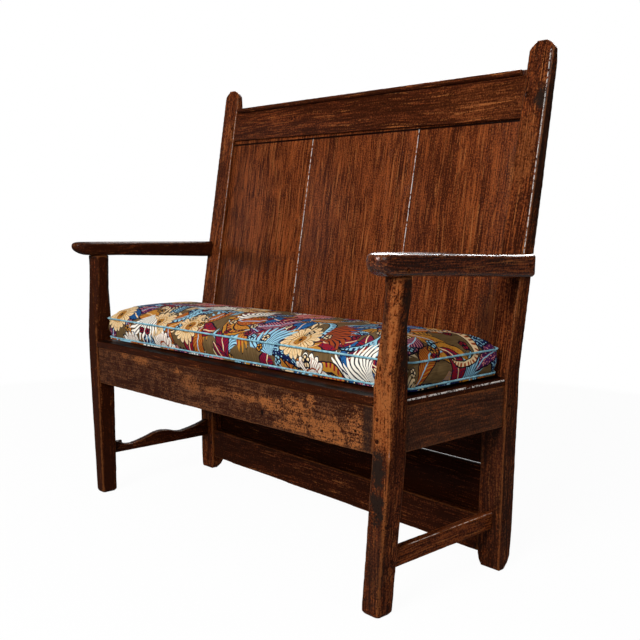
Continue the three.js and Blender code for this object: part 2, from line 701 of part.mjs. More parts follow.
// Outline of the cushion in plan: round corners, sides drawn in between them, grown or shrunk by offset.
function cushionPlan(offset) {
  const halfLength = cushionLength / 2 + offset;
  const halfDepth = cushionDepth / 2 + offset;
  const radius = Math.max(cushionCorner + offset, cushionCorner / 4);
  const points = [];
  const line = (from, to, steps) => {
    for (let i = 0; i < steps; i += 1) {
      points.push([THREE.MathUtils.lerp(from[0], to[0], i / steps), THREE.MathUtils.lerp(from[1], to[1], i / steps)]);
    }
  };
  const quarter = Math.PI / 2;
  const quarters = [[1, -1, -quarter], [1, 1, 0], [-1, 1, quarter], [-1, -1, 2 * quarter]];
  quarters.forEach(([sx, sy, start], corner) => {
    const cx = sx * (halfLength - radius);
    const cy = sy * (halfDepth - radius);
    const turned = (angle) => [cx + radius * Math.cos(angle), cy + radius * Math.sin(angle)];
    for (let i = 0; i < cushionCornerSteps; i += 1) {
      points.push(turned(start + quarter * i / cushionCornerSteps));
    }
    const [nx, ny] = quarters[(corner + 1) % quarters.length];
    const alongLength = corner % 2 === 1;
    const next = alongLength
      ? [nx * (halfLength - radius), ny * halfDepth]
      : [nx * halfLength, ny * (halfDepth - radius)];
    line(turned(start + quarter), next, alongLength ? cushionSideSteps : cushionEndSteps);
  });
  return points.map(([x, y]) => {
    const push = cushionBow * (1 - (x / halfLength) ** 2) * (y / halfDepth);
    return [x, y + push];
  });
}

const cushionLength = 2 * plankEnd - cushionShortfall;
const cushionDepth = postFace - cushionFrontGap - cushionBackGap;
const cushionCentreY = cushionFrontGap + cushionDepth / 2;
const seamLow = seatTop + cushionSeamLow;
const seamHigh = seamLow + cushionBox;

// Rings of the cushion from its flat underside over the boxing to the crown.
function cushionGeometry() {
  const halfDepth = cushionDepth / 2;
  const underside = seatTop + clearance;
  const levels = [
    { offset: -cushionSag, z: underside },
    { offset: -cushionSag / 3, z: underside + cushionSeamLow / 5 },
    { offset: -cushionSeamInset, z: seamLow },
    { offset: cushionBulge, z: (seamLow + seamHigh) / 2 },
    { offset: 0, z: seamHigh },
  ];
  for (const place of crownPlaceShares) {
    levels.push({ offset: -halfDepth * place, z: seamHigh + cushionCrown * (1 - (1 - place) ** crownFullness) });
  }
  const rings = levels.map(({ offset, z }) => cushionPlan(offset).map(([x, y]) => new THREE.Vector3(x, y, z)));
  return loftGeometry(rings);
}

// Closed cord along a seam, lying just outside it.
function pipingGeometry(z, inset) {
  const path = cushionPlan(pipingRadius + clearance - inset).map(([x, y]) => new THREE.Vector3(x, y, z));
  const count = path.length;
  const index = [];
  const points = [];
  path.forEach((point, i) => {
    const along = path[(i + 1) % count].clone().sub(path[(i + count - 1) % count]).normalize();
    const outward = new THREE.Vector3(along.y, -along.x, 0);
    for (let side = 0; side < pipingSides; side += 1) {
      const angle = 2 * Math.PI * side / pipingSides;
      const reach = outward.clone().multiplyScalar(pipingRadius * Math.cos(angle));
      points.push(point.clone().add(reach).add(new THREE.Vector3(0, 0, pipingRadius * Math.sin(angle))));
    }
    for (let side = 0; side < pipingSides; side += 1) {
      const a = i * pipingSides + side;
      const b = i * pipingSides + (side + 1) % pipingSides;
      const c = ((i + 1) % count) * pipingSides + side;
      const d = ((i + 1) % count) * pipingSides + (side + 1) % pipingSides;
      index.push(a, b, d, a, d, c);
    }
  });
  const geometry = new THREE.BufferGeometry().setFromPoints(points);
  geometry.setIndex(signedVolume(points, index) < 0 ? index.slice().reverse() : index);
  return geometry;
}

function meshOf(name, geometry, colour, roughness) {
  geometry.computeVertexNormals();
  const material = new THREE.MeshStandardMaterial({ color: colour, roughness, metalness: 0, flatShading: true });
  const mesh = new THREE.Mesh(geometry, material);
  mesh.name = name;
  return mesh;
}

const bench = new THREE.Group();
for (const [name, solid] of pieces) {
  bench.add(meshOf(name, geometryOf(solid), finishes.get(name), 0.45));
}

// The loose cushion lies a little askew on the seat
const cushion = new THREE.Group();
cushion.add(meshOf('cushion', cushionGeometry(), fabricColour, 0.9));
cushion.add(meshOf('cushion_piping_lower', pipingGeometry(seamLow, cushionSeamInset), pipingColour, 0.8));
cushion.add(meshOf('cushion_piping_upper', pipingGeometry(seamHigh, 0), pipingColour, 0.8));
cushion.position.set(cushionCentreX, cushionCentreY, seatFall(cushionCentreX));
cushion.rotation.set(0, -Math.atan(seatSlope), THREE.MathUtils.degToRad(cushionSkewDegrees));
bench.add(cushion);

// The origin is the middle of the whole bench, on the floor
const settle = new THREE.Group();
settle.add(bench);
settle.updateMatrixWorld(true);
const middle = new THREE.Box3().setFromObject(bench, true).getCenter(new THREE.Vector3());
bench.position.set(-middle.x, -middle.y, 0);
settle.updateMatrixWorld(true);

export default settle;
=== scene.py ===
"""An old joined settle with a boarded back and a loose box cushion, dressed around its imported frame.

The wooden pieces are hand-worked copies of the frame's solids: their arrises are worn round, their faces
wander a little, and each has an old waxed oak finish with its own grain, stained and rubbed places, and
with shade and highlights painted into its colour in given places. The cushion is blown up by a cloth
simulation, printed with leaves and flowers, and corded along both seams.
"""

import logging
import math
from dataclasses import dataclass, field
from enum import Enum

import bpy
import numpy as np
from bpy.types import Material, Mesh, Modifier, Node, NodeSocket, NodeTree, Object
from mathutils import Matrix, Vector


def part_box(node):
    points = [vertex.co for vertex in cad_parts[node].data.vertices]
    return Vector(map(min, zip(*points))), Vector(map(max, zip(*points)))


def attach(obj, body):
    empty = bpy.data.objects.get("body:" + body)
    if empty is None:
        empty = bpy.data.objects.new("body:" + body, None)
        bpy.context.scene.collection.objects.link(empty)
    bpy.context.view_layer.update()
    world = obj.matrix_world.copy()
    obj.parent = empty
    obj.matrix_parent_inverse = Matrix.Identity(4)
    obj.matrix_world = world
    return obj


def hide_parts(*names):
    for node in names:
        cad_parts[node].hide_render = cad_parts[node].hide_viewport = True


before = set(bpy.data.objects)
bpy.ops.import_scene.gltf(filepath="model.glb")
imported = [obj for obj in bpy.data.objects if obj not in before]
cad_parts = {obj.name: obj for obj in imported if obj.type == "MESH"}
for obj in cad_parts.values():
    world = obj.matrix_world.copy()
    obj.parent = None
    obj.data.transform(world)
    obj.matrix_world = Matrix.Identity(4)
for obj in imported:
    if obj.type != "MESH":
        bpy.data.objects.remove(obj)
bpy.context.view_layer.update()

log = logging.getLogger("settle")

MM = 0.001
KNEE = 0.480  # height at which the rear posts begin to lean
RAKE = math.radians(9.48)
LEG_FACE = -0.2403
RAIL_FACE = -0.2363

Colour = tuple[float, float, float]
Point = tuple[float, float, float]

WHITE: Colour = (1.0, 1.0, 1.0)
DULL: Colour = (0.056, 0.0200, 0.0090)


class Grain(Enum):
    """The way that the grain of a piece runs, as shares of a noise's scale along X, Y and Z."""

    ALONG_X = (0.06, 1.0, 1.0)
    ALONG_Y = (1.0, 0.06, 1.0)
    UPRIGHT = (1.0, 1.0, 0.06)

    def smear(self, share: float) -> Point:
        """Shares for another stretch. Args: share, along the grain. Returns: the shares along X, Y and Z."""
        return tuple(share if along < 1 else 1.0 for along in self.value)


class Body(Enum):
    """The bodies of the frame that a piece can ride on."""

    FRAME = "frame"
    CUSHION = "cushion"


@dataclass(frozen=True)
class Spot:
    """A soft-edged egg shape on a piece, in metres: a rubbed, stained or holed place, or a patch of painted
    shade.
    """

    centre: Point
    reach: Point
    strength: float = 1.0


@dataclass(frozen=True)
class Arris:
    """A line on a piece, in metres, along which a highlight or a shade is painted. With a facing, worn wood
    may lie a little off it, by up to its slack.
    """

    start: Point
    end: Point
    width: float = 1.3 * MM
    strength: float = 1.0
    facing: Point | None = None
    slack: float = 6.0 * MM


class Value:
    """A number or colour in a node tree, to reckon with: each step adds its node to the tree."""

    node = "Math"

    def __init__(self, recipe: "Recipe", socket: NodeSocket) -> None:
        """Holds a socket. Args: recipe, the tree that it is in, and socket."""
        self.recipe = recipe
        self.socket = socket

    def reckon(self, operation: str, *others: object, **settings) -> "Value":
        """Adds one sum. Args: operation, the other values and the node's settings. Returns: the result."""
        values = dict(enumerate((self, *others)))
        return self.recipe.get(self.node, 0, values, type(self), operation=operation, **settings)

    def __add__(self, other: object) -> "Value":
        """Adds something. Returns: the sum."""
        return self.reckon("ADD", other)

    def __sub__(self, other: object) -> "Value":
        """Subtracts something. Returns: the difference."""
        return self.reckon("SUBTRACT", other)

    def __rsub__(self, other: float) -> "Value":
        """Subtracts this from a number. Returns: the difference."""
        return self * -1.0 + other

    def __mul__(self, other: object) -> "Value":
        """Multiplies by something. Returns: the product."""
        return self.reckon("MULTIPLY", other)

    def __truediv__(self, other: object) -> "Value":
        """Divides by something. Returns: the quotient."""
        return self.reckon("DIVIDE", other)

    def __abs__(self) -> "Value":
        """Drops the sign. Returns: the result."""
        return self.reckon("ABSOLUTE")

    def most(self, *others: object) -> "Value":
        """Compares this with others. Returns: the highest."""
        highest = self
        for other in others:
            highest = highest.reckon("MAXIMUM", other)
        return highest

    def step(self, low: float, high: float) -> "Value":
        """Steps smoothly. Args: low, where it is 0, and high, where it is 1. Returns: the step."""
        inputs = {"Value": self, "From Min": low, "From Max": high}
        return self.recipe.get("MapRange", "Result", inputs, interpolation_type="SMOOTHSTEP")

    def ramp(self, *stops: tuple[float, Colour]) -> "Value":
        """Turns a value into a colour.

        Args:
            stops: places from 0 to 1 and their colours, in order.

        Returns:
            The colour.
        """
        colour = self.recipe.get("ValToRGB", "Color", {"Fac": self})
        elements = colour.socket.node.color_ramp.elements
        while len(elements) < len(stops):
            elements.new(0.5)
        for element, (place, shade) in zip(elements, stops):
            element.position = place
            element.color = (*shade, 1.0)
        return colour

    def bands(self, limits: tuple[float, ...], *colours: Colour) -> "Value":
        """Chooses a colour. Args: limits, where the colours change, and colours. Returns: the colour."""
        colour = self.ramp(*zip((0.0, *limits), colours))
        colour.socket.node.color_ramp.interpolation = "CONSTANT"
        return colour


class Place(Value):
    """A place in a node tree, in metres. It is reckoned with along X, Y and Z at a time."""

    node = "VectorMath"

    def dot(self, direction: object) -> Value:
        """How far a place is along a direction. Args: direction. Returns: the distance."""
        return self.recipe.get(self.node, "Value", {0: self, 1: direction}, operation="DOT_PRODUCT")

    def length(self) -> Value:
        """How far a place is from the origin. Returns: the distance."""
        return self.recipe.get(self.node, "Value", {0: self}, operation="LENGTH")

    def parts(self) -> list[Value]:
        """Takes a place apart. Returns: how far it is along X, Y and Z."""
        node = self.recipe.add("SeparateXYZ", {"Vector": self})
        return [Value(self.recipe, socket) for socket in node.outputs]

    def noise(self, scale: float, detail: float = 3.0, rough: float = 0.55) -> Value:
        """Adds a noise.

        Args:
            scale: bumps in a metre.
            detail: octaves.
            rough: how strong each octave is beside the one before.

        Returns:
            The noise, about 0.25 to 0.75.
        """
        inputs = {"Vector": self, "Scale": scale, "Detail": detail, "Roughness": rough}
        return self.recipe.get("TexNoise", "Fac", inputs)

    def drifting(self, scale: float, reach: Point) -> "Place":
        """Lets places wander.

        Args:
            scale: how many times they wander in a metre.
            reach: how far they wander along X, Y and Z, in metres.

        Returns:
            The new places.
        """
        drift = self.recipe.get("TexNoise", "Color", {"Vector": self, "Scale": scale, "Detail": 2.0}, Place)
        return self + (drift - (0.5, 0.5, 0.5)) * reach


class Recipe:
    """Builds a node tree, a node at a time."""

    def __init__(self, tree: NodeTree, material: Material | None = None) -> None:
        """Empties a node tree. Args: tree, and the material that it belongs to, if any."""
        self.tree = tree
        self.material = material
        self.tree.nodes.clear()

    @classmethod
    def for_material(cls, name: str) -> "Recipe":
        """Starts a new material. Args: name, the material's name. Returns: its recipe."""
        material = bpy.data.materials.new(name)
        material.use_nodes = True
        return cls(material.node_tree, material)

    def feed(self, socket: NodeSocket, value: object) -> None:
        """Links a value to an input, or sets the input to it.

        Args:
            socket: the input.
            value: a value or socket of another node, a number, a colour or a vector.
        """
        if isinstance(value, Value):
            value = value.socket
        if isinstance(value, NodeSocket):
            self.tree.links.new(value, socket)
        elif socket.type == "RGBA":
            socket.default_value = (*value, 1.0)
        else:
            socket.default_value = value

    def add(self, kind: str, inputs: dict | None = None, **settings) -> Node:
        """Adds one node.

        Args:
            kind: the node's type name in Blender, without its ShaderNode start.
            inputs: what its inputs take, by name or number.
            settings: properties of the node itself.

        Returns:
            The new node.
        """
        node = self.tree.nodes.new("ShaderNode" + kind)
        for key, value in settings.items():
            setattr(node, key, value)
        for key, value in (inputs or {}).items():
            self.feed(node.inputs[key], value)
        return node

    def get(self, kind: str, output: int | str, inputs: dict | None = None, result: type = Value,
            **settings) -> Value:
        """Adds one node for one of its outputs.

        Args:
            kind: the node's type name, as for add.
            output: the output's name or number.
            inputs: what the node's inputs take.
            result: Value, or Place if the output is one.
            settings: properties of the node itself.

        Returns:
            The output.
        """
        return result(self, self.add(kind, inputs, **settings).outputs[output])

    def real_place(self) -> Place:
        """Where a point of the piece is. Returns: its place on the settle."""
        return self.get("TexCoord", "Object", result=Place)

    def place(self, x: object, y: object, z: object = 0.0) -> Place:
        """Puts a place together. Args: x, y, z. Returns: the place."""
        return self.get("CombineXYZ", 0, {"X": x, "Y": y, "Z": z}, Place)

    def mix(self, share: object, first: object, second: object) -> Value:
        """Mixes two colours. Args: share of the second, first, second. Returns: the colour."""
        return self.get("Mix", 2, {0: share, 6: first, 7: second}, data_type="RGBA")

    def surface(self, colour: Value, rough: object, relief: Value, depth: float, strength: float,
                constants: dict[str, float]) -> Material:
        """Ends a material with a bumped surface.

        Args:
            colour: its colour.
            rough: its roughness.
            relief: the bump's height, about 0 to 1.
            depth: the bump's depth in metres.
            strength: the bump's strength.
            constants: other inputs of the shader.

        Returns:
            The material.
        """
        bump = self.get("Bump", "Normal", {"Strength": strength, "Distance": depth, "Height": relief})
        inputs = {"Base Color": colour, "Roughness": rough, "Normal": bump, "Coat Normal": bump, **constants}
        return self.finish(self.add("BsdfPrincipled", inputs).outputs["BSDF"])

    def finish(self, shader: NodeSocket) -> Material:
        """Links the shader to the material's output. Returns: the material."""
        self.add("OutputMaterial", {"Surface": shader})
        return self.material


@dataclass(frozen=True)
class OldOak:
    """Old waxed oak, streaked along its grain, darker in its hollows with painted shade and grime, rubbed on
    its arrises, and with painted highlights and painted shade along given lines.
    """

    name: str
    grain: Grain
    dark: Colour = (0.027, 0.0058, 0.0016)
    body: Colour = (0.084, 0.0183, 0.0058)
    warm: Colour = (0.215, 0.051, 0.0115)
    rubbed: Colour = (0.29, 0.094, 0.025)
    # The dark colour below marks stained places and, in given places, painted shade and painted shadows.
    stain_and_shade: Colour = (0.017, 0.0092, 0.0062)
    # Painted highlight: the pale colour of the glint lines drawn along arrises.
    painted_glint: Colour = (0.62, 0.57, 0.53)
    # The near-black colour below darkens holes and flecks, and is painted as shade in hollows and along shade
    # lines.
    soot_and_shade: Colour = (0.006, 0.0016, 0.0006)
    streak_scale: float = 120.0
    fibre_scale: float = 330.0
    patch_scale: float = 30.0
    smudge_scale: float = 17.0
    mottle_scale: float = 46.0
    speckle_scale: float = 250.0
    glow_scale: float = 230.0
    worm_scale: float = 170.0
    check_scale: float = 190.0
    fleck_scale: float = 270.0
    tone: float = 0.04
    streaky: float = 0.75
    fibrous: float = 2.7
    patchy: float = 0.9
    smudged: float = 0.6
    mottled: float = 0.7
    speckled: float = 2.2
    glow: float = 0.85
    worm: float = 0.62
    roughness: float = 0.45
    gloss: float = 0.02
    polish: float = 0.07
    polish_roughness: float = 0.24
    edge_wear: float = 0.30
    relief: float = 0.6 * MM
    rubs: tuple[Spot, ...] = ()
    # Dark places: stained places, and in given places painted shade and painted shadows.
    stains_and_shade: tuple[Spot, ...] = ()
    holes: tuple[Spot, ...] = ()
    # Painted highlights: pale glint lines drawn along arrises.
    arrises: tuple[Arris, ...] = ()
    # Painted shade: dark lines drawn where shade falls, in the gaps between boards, under the crest rail and
    # on the seat beside the cushion.
    painted_shade_lines: tuple[Arris, ...] = ()

    def straightened(self, real: Place) -> Place:
        """Takes the lean of the back out of places, so that the grain follows it. Returns: the new places."""
        x, y, z = real.parts()
        return real.recipe.place(x, y - (z - KNEE).most(0.0) * math.tan(RAKE), z)

    def spots(self, place: Place, spots: tuple[Spot, ...], ragged: object) -> object:
        """Adds up the soft-edged places of one kind.

        Args:
            place: the places on the piece.
            spots: the rubbed, stained or holed places, some of them painted shade.
            ragged: the noise that makes their edges uneven, or 0.

        Returns:
            How strongly a place is covered, or 0.
        """
        covers = [(((place - spot.centre) / spot.reach).length() + ragged).step(1.3, 0.7) * spot.strength
                  for spot in spots]
        return covers[0].most(*covers[1:]) if covers else 0.0

    def lined(self, place: Place, arrises: tuple[Arris, ...], broken: object) -> object:
        """Adds up the thin lines of one kind.

        Args:
            place: the places on the piece.
            arrises: the lines; painted highlights along arrises in one call, painted shade lines in the
                other.
            broken: how strongly a line shows at a place.

        Returns:
            How strongly a place is covered, or 0.
        """
        lines = []
        for arris in arrises:
            run = Vector(arris.end) - Vector(arris.start)
            offset = place - arris.start
            if arris.facing:
                across = run.cross(Vector(arris.facing)).normalized()
                outward = across.cross(run).normalized()
                far = abs(offset.dot(across)) + abs(offset.dot(outward)).reckon("GREATER_THAN", arris.slack)
            else:
                far = offset.reckon("CROSS_PRODUCT", run.normalized()).length()
            done = offset.dot(run / run.length_squared)
            within = done.step(0.0, 0.004) * done.step(1.0, 0.996)
            lines.append(far.step(arris.width, 0.6 * arris.width) * within * (broken * arris.strength))
        return lines[0].most(*lines[1:]) if lines else 0.0

    def build(self) -> Material:
        """Makes the material. Returns: the material."""
        recipe = Recipe.for_material(self.name)
        real = recipe.real_place()
        place = self.straightened(real)
        bent = place.drifting(3.2, (0.03, 0.03, 0.03))
        along = bent * self.grain.value
        longer = along * self.grain.smear(0.5)

        streaks = longer.noise(self.streak_scale, 4.0, 0.56)
        fibres = longer.noise(self.fibre_scale)
        mottle = place.noise(self.mottle_scale, 6.0, 0.72)
        layers = (
            (streaks, self.streaky),
            (fibres, self.fibrous),
            (along.noise(self.patch_scale, 3.0, 0.5), self.patchy),
            ((place * self.grain.smear(0.4)).noise(self.smudge_scale), self.smudged),
            (mottle, self.mottled),
            (place.noise(self.speckle_scale, 2.0, 0.6), self.speckled),
        )
        tone = self.tone + 0.46 - 0.5 * sum(weight for _, weight in layers)
        for layer, weight in layers:
            tone = layer * weight + tone
        colour = tone.ramp((0.03, self.dark), (0.46, self.body), (0.95, self.warm))
        glow = (longer + (0.7, 0.3, 0.5)).noise(self.glow_scale, 2.0, 0.5).step(0.56, 0.72)
        colour = recipe.mix(glow * tone.step(-0.05, 0.50) * self.glow, colour, self.rubbed)

        ragged = place.noise(42.0, 8.0, 0.78) * 4.0 + place.noise(260.0, 3.0, 0.6) * 2.2 - 3.1
        bare = self.spots(real, self.rubs, ragged)
        bare_tone = (tone + 0.38).ramp((0.05, self.dark), (0.42, self.warm), (0.90, self.rubbed))
        colour = recipe.mix(bare, colour, bare_tone)
        # Darkens the given places: stained places, and painted shade and painted shadows where listed.
        colour = recipe.mix(self.spots(real, self.stains_and_shade, ragged), colour, self.stain_and_shade)

        point = recipe.get("NewGeometry", "Pointiness")
        proud = (mottle * -0.10 + point).step(0.465, 0.490)
        colour = recipe.mix(proud * self.edge_wear, colour, self.rubbed)
        # Painted shade and grime: concave hollows darkened towards the near-black colour.
        colour = recipe.mix(point.step(0.485, 0.465) * 0.85, colour, self.soot_and_shade)

        cells = recipe.get("TexVoronoi", "Distance", {"Vector": place, "Scale": self.worm_scale})
        worm = cells.step(0.30, 0.18) * place.noise(13.0).step(self.worm, self.worm + 0.05)
        check = (bent * self.grain.smear(0.45)).noise(self.check_scale, 3.0, 0.6) + bare * 0.045
        fleck = (bent * self.grain.smear(0.13)).noise(self.fleck_scale, 3.0, 0.6).step(0.62, 0.72)
        holes = self.spots(real, self.holes, 0.0)
        dots = (worm * 0.9).most(check.step(0.655, 0.70) * 0.8, fleck * 0.45, holes)
        colour = recipe.mix(dots, colour, self.soot_and_shade)
        # Painted shade along the dark lines.
        colour = recipe.mix(self.lined(real, self.painted_shade_lines, 1.0), colour, self.soot_and_shade)
        # Painted highlights: pale glint lines along arrises, broken up by noise.
        broken = real.noise(140.0, 2.0, 0.6).step(0.40, 0.54)
        colour = recipe.mix(self.lined(real, self.arrises, broken), colour, self.painted_glint)

        rough = mottle * 0.30 + (self.roughness - 0.15) + bare * 0.15
        relief = streaks * 0.5 + fibres + dots * -1.5 + mottle * 0.6
        return recipe.surface(colour, rough, relief, self.relief, 0.4, {
            "Specular IOR Level": self.gloss,
            "Coat Weight": self.polish,
            "Coat Roughness": self.polish_roughness,
        })


@dataclass(frozen=True)
class Piping:
    """Light blue cotton cord cover."""

    name: str = "blue_piping"
    colour: Colour = (0.27, 0.52, 0.60)
    shade: Colour = (0.10, 0.27, 0.36)

    def build(self) -> Material:
        """Makes the material. Returns: the material."""
        recipe = Recipe.for_material(self.name)
        place = recipe.real_place()
        colour = recipe.mix(place.noise(90.0).step(0.35, 0.65), self.shade, self.colour)
        thread = place.noise(1400.0, 2.0)
        return recipe.surface(colour, 0.8, thread, 0.4 * MM, 0.5, {"Sheen Weight": 0.1})


class Motif(Enum):
    """The printed shapes, each with the number of cells in a metre that it is scattered in."""

    FROND = 5.9
    LEAF = 8.8
    BLOSSOM = 6.8
    SPRAY = 9.5
    FAN = 6.4
    SPRIG = 26.0


@dataclass(frozen=True)
class Cell:
    """A place in its own cell of a scattered print: turned axes in metres and two random numbers."""

    u: Value
    v: Value
    far: Value
    dye: Value
    chance: Value


@dataclass(frozen=True)
class Shape:
    """A printed shape: where it covers the cloth, its outline, its inner lines and its middle, 0 to 1."""

    cover: Value
    outline: Value
    lines: Value
    middle: object = 0.0


@dataclass(frozen=True)
class LeafyPrint:
    """Printed cotton: fronds, leaves, blossoms, sprays and sprigs over an olive ground, in inked outlines."""

    name: str = "leafy_print"
    ground: Colour = (0.100, 0.058, 0.023)
    ground_light: Colour = (0.160, 0.097, 0.040)
    ink: Colour = (0.006, 0.006, 0.013)
    cream: Colour = (0.75, 0.55, 0.31)
    white: Colour = (0.86, 0.80, 0.70)
    gold: Colour = (0.46, 0.20, 0.024)
    rust: Colour = (0.30, 0.050, 0.010)
    crimson: Colour = (0.24, 0.008, 0.018)
    plum: Colour = (0.070, 0.011, 0.065)
    navy: Colour = (0.006, 0.010, 0.055)
    blue: Colour = (0.015, 0.095, 0.26)
    sky: Colour = (0.28, 0.53, 0.66)
    pink: Colour = (0.62, 0.22, 0.20)
    line: float = 3.3 * MM
    fan_radius: float = 64.0 * MM
    spray_radius: float = 62.0 * MM
    frond_radius: float = 58.0 * MM
    frond_width: float = 26.0 * MM
    blossom_radius: float = 56.0 * MM
    sprig_radius: float = 13.0 * MM
    vein_gap: float = 8.5 * MM
    leaves: tuple[Point, ...] = ((0.41, 0.150, 0.056), (0.17, 0.130, 0.052), (0.83, 0.135, 0.044))

    def scattered(self, cloth: Place, motif: Motif, shift: Point) -> Cell:
        """Cuts the cloth into cells, and gives each place its cell's own turned axes and random numbers.

        Args:
            cloth: the place on the flat cloth, in metres.
            motif: what the cells are for.
            shift: moves this layer's cells away from the others.

        Returns:
            The cell.
        """
        recipe = cloth.recipe
        moved = cloth + shift
        inputs = {"Vector": moved, "Scale": motif.value, "Randomness": 0.70}
        cells = recipe.add("TexVoronoi", inputs, voronoi_dimensions="2D").outputs
        chance = recipe.add("SeparateColor", {"Color": cells["Color"]}).outputs
        turn = Value(recipe, chance["Red"]) * (2 * math.pi)
        turned = {"Vector": moved - cells["Position"], "Angle": turn}
        u, v, _ = recipe.get("VectorRotate", 0, turned, Place, rotation_type="Z_AXIS").parts()
        dye, chance = (Value(recipe, chance[name]) for name in ("Green", "Blue"))
        return Cell(u, v, recipe.place(u, v).length(), dye, chance)

    def inked(self, reach: Value) -> tuple[Value, Value]:
        """Draws a shape. Args: reach, how far inside it a place is. Returns: its cover and outline."""
        cover = reach.step(0.0, 0.4 * MM)
        inside = reach.step(self.line, self.line + 0.6 * MM)
        return cover, cover.reckon("SUBTRACT", inside, use_clamp=True)

    def frond(self, cell: Cell) -> Shape:
        """A long arching band that tapers at both ends, with a comb of fine strokes along its outer side.

        Args:
            cell: its cell.

        Returns:
            The shape.
        """
        width = self.frond_width
        angle = cell.v.reckon("ARCTAN2", cell.u)
        half = (1.0 - angle * angle * 0.15).most(0.0) * (width / 2)
        side = cell.far - self.frond_radius
        comb = (side * 30.0 + angle * 34.0).reckon("SINE").step(-0.1, 0.4)
        return Shape(*self.inked(half - abs(side)), comb * side.step(-0.15 * width, -0.05 * width))

    def leaf(self, cell: Cell, length: float, width: float) -> Shape:
        """A bent pointed leaf with a midrib and side veins.

        Args:
            cell: its cell.
            length: its length in metres.
            width: its greatest width in metres.

        Returns:
            The shape.
        """
        share = cell.u / length
        square = share * share
        away = abs(cell.v + square * (length * 0.6) - length * 0.06)
        half = (0.25 - square).most(0.0).reckon("POWER", 0.8) * (width * 1.6)
        rib = away.step(1.9 * MM, 1.0 * MM)
        veins = ((cell.u - away * 0.9) * (2 * math.pi / self.vein_gap)).reckon("SINE").step(0.35, 0.75)
        return Shape(*self.inked(half - away), veins.most(rib), rib)

    def blossom(self, cell: Cell, radius: float, petals: int) -> Shape:
        """An open flower with notched petals round a seeded middle.

        Args:
            cell: its cell.
            radius: its radius in metres.
            petals: how many petals it has.

        Returns:
            The shape.
        """
        angle = cell.v.reckon("ARCTAN2", cell.u)
        lobes = abs((angle * (petals / 2)).reckon("COSINE"))
        cover, outline = self.inked(lobes.reckon("POWER", 0.6) * (radius * 0.26) + radius * 0.74 - cell.far)
        split = (lobes * cell.far).step(4.4 * MM, 2.8 * MM)
        rays = (angle * (petals * 2.0)).reckon("COSINE").step(0.3, 0.8)
        rings = (cell.far * (2 * math.pi / (radius * 0.34))).reckon("SINE").step(0.86, 0.94)
        lines = rays.most(rings) * cell.far.step(radius * 0.95, radius * 0.55)
        return Shape(cover, outline.most(split) * cover, lines, cell.far.step(radius * 0.30, radius * 0.26))

    def spray(self, cell: Cell, radius: float) -> Shape:
        """A fan of curved strokes, like a feathery grass head.

        Args:
            cell: its cell.
            radius: the fan's radius in metres.

        Returns:
            The shape.
        """
        near = cell.u + radius * 0.7
        far = cell.u.recipe.place(near, cell.v).length()
        angle = cell.v.reckon("ARCTAN2", near)
        strokes = ((far * 9.0 + angle) * 30.0).reckon("SINE")
        cover, outline = self.inked(strokes * (radius * 0.16) + radius * 1.3 - far)
        return Shape(cover * abs(angle).step(0.95, 0.88), outline, strokes.step(-0.75, -0.25))

    def laid(self, under: Value, shape: Shape, tone: Value, least: float, cell: Cell) -> Value:
        """Prints one layer of shapes over the colour below.

        Args:
            under: the colour below.
            shape: the shape.
            tone: its colour.
            least: the share of the cells that stay empty.
            cell: its cell.

        Returns:
            The colour.
        """
        shown = shape.cover * cell.chance.reckon("GREATER_THAN", least)
        return under.recipe.mix(shown, under, under.recipe.mix(shape.outline, tone, self.ink))

    def build(self) -> Material:
        """Makes the material. Returns: the material."""
        ink, navy, blue, sky = self.ink, self.navy, self.blue, self.sky
        cream, white, gold, rust = self.cream, self.white, self.gold, self.rust
        crimson, plum, pink = self.crimson, self.plum, self.pink
        recipe = Recipe.for_material(self.name)
        mix = recipe.mix
        flat = recipe.get("UVMap", "UV", result=Place, uv_map=Cushion.cloth_map)
        cloth = flat.drifting(20.0, (0.020, 0.020, 0.0))
        seeds = recipe.get("TexVoronoi", "Distance", {"Vector": cloth, "Scale": 190.0}).step(0.42, 0.30)
        warp = (flat * (1.0, 0.08, 1.0)).noise(300.0, 2.0)
        colour = mix(warp.step(0.3, 0.7), self.ground, self.ground_light)

        cell = self.scattered(cloth, Motif.SPRAY, (0.37, 0.61, 0.0))
        fan = self.spray(cell, self.spray_radius)
        base = cell.dye.bands((0.35, 0.6, 0.85), navy, ink, crimson, blue)
        pen = cell.chance.bands((0.35, 0.6, 0.8), sky, cream, gold, white)
        colour = self.laid(colour, fan, mix(fan.lines, base, pen), 0.0, cell)

        for shift, length, width in self.leaves:
            cell = self.scattered(cloth, Motif.LEAF, (shift, 0.23 + shift, 0.0))
            blade = self.leaf(cell, length, width)
            base = cell.dye.bands((0.18, 0.40, 0.56, 0.72, 0.88), blue, crimson, gold, plum, rust, navy)
            pen = cell.dye.bands((0.18, 0.40, 0.56, 0.72, 0.88), navy, navy, rust, pink, gold, sky)
            marks = mix(cell.chance.reckon("GREATER_THAN", 0.5), blade.lines, seeds)
            fill = mix(blade.middle, mix(marks, base, pen), cell.dye.bands((0.5,), cream, sky))
            colour = self.laid(colour, blade, fill, 0.04, cell)

        cell = self.scattered(cloth, Motif.FROND, (0.23, 0.49, 0.0))
        arch = self.frond(cell)
        base = cell.dye.bands((0.3, 0.5, 0.75), cream, sky, gold, white)
        pen = cell.dye.bands((0.3, 0.5, 0.75), rust, navy, crimson, blue)
        colour = self.laid(colour, arch, mix(arch.lines, base, pen), 0.06, cell)

        cell = self.scattered(cloth, Motif.BLOSSOM, (0.53, 0.31, 0.0))
        flower = self.blossom(cell, self.blossom_radius, 17)
        base = cell.dye.bands((0.4, 0.6, 0.85), cream, pink, white, sky)
        pen = cell.dye.bands((0.4, 0.6, 0.85), gold, crimson, rust, navy)
        bloom = mix(flower.middle, mix(flower.lines, base, pen), mix(seeds, gold, rust))
        colour = self.laid(colour, flower, bloom, 0.66, cell)

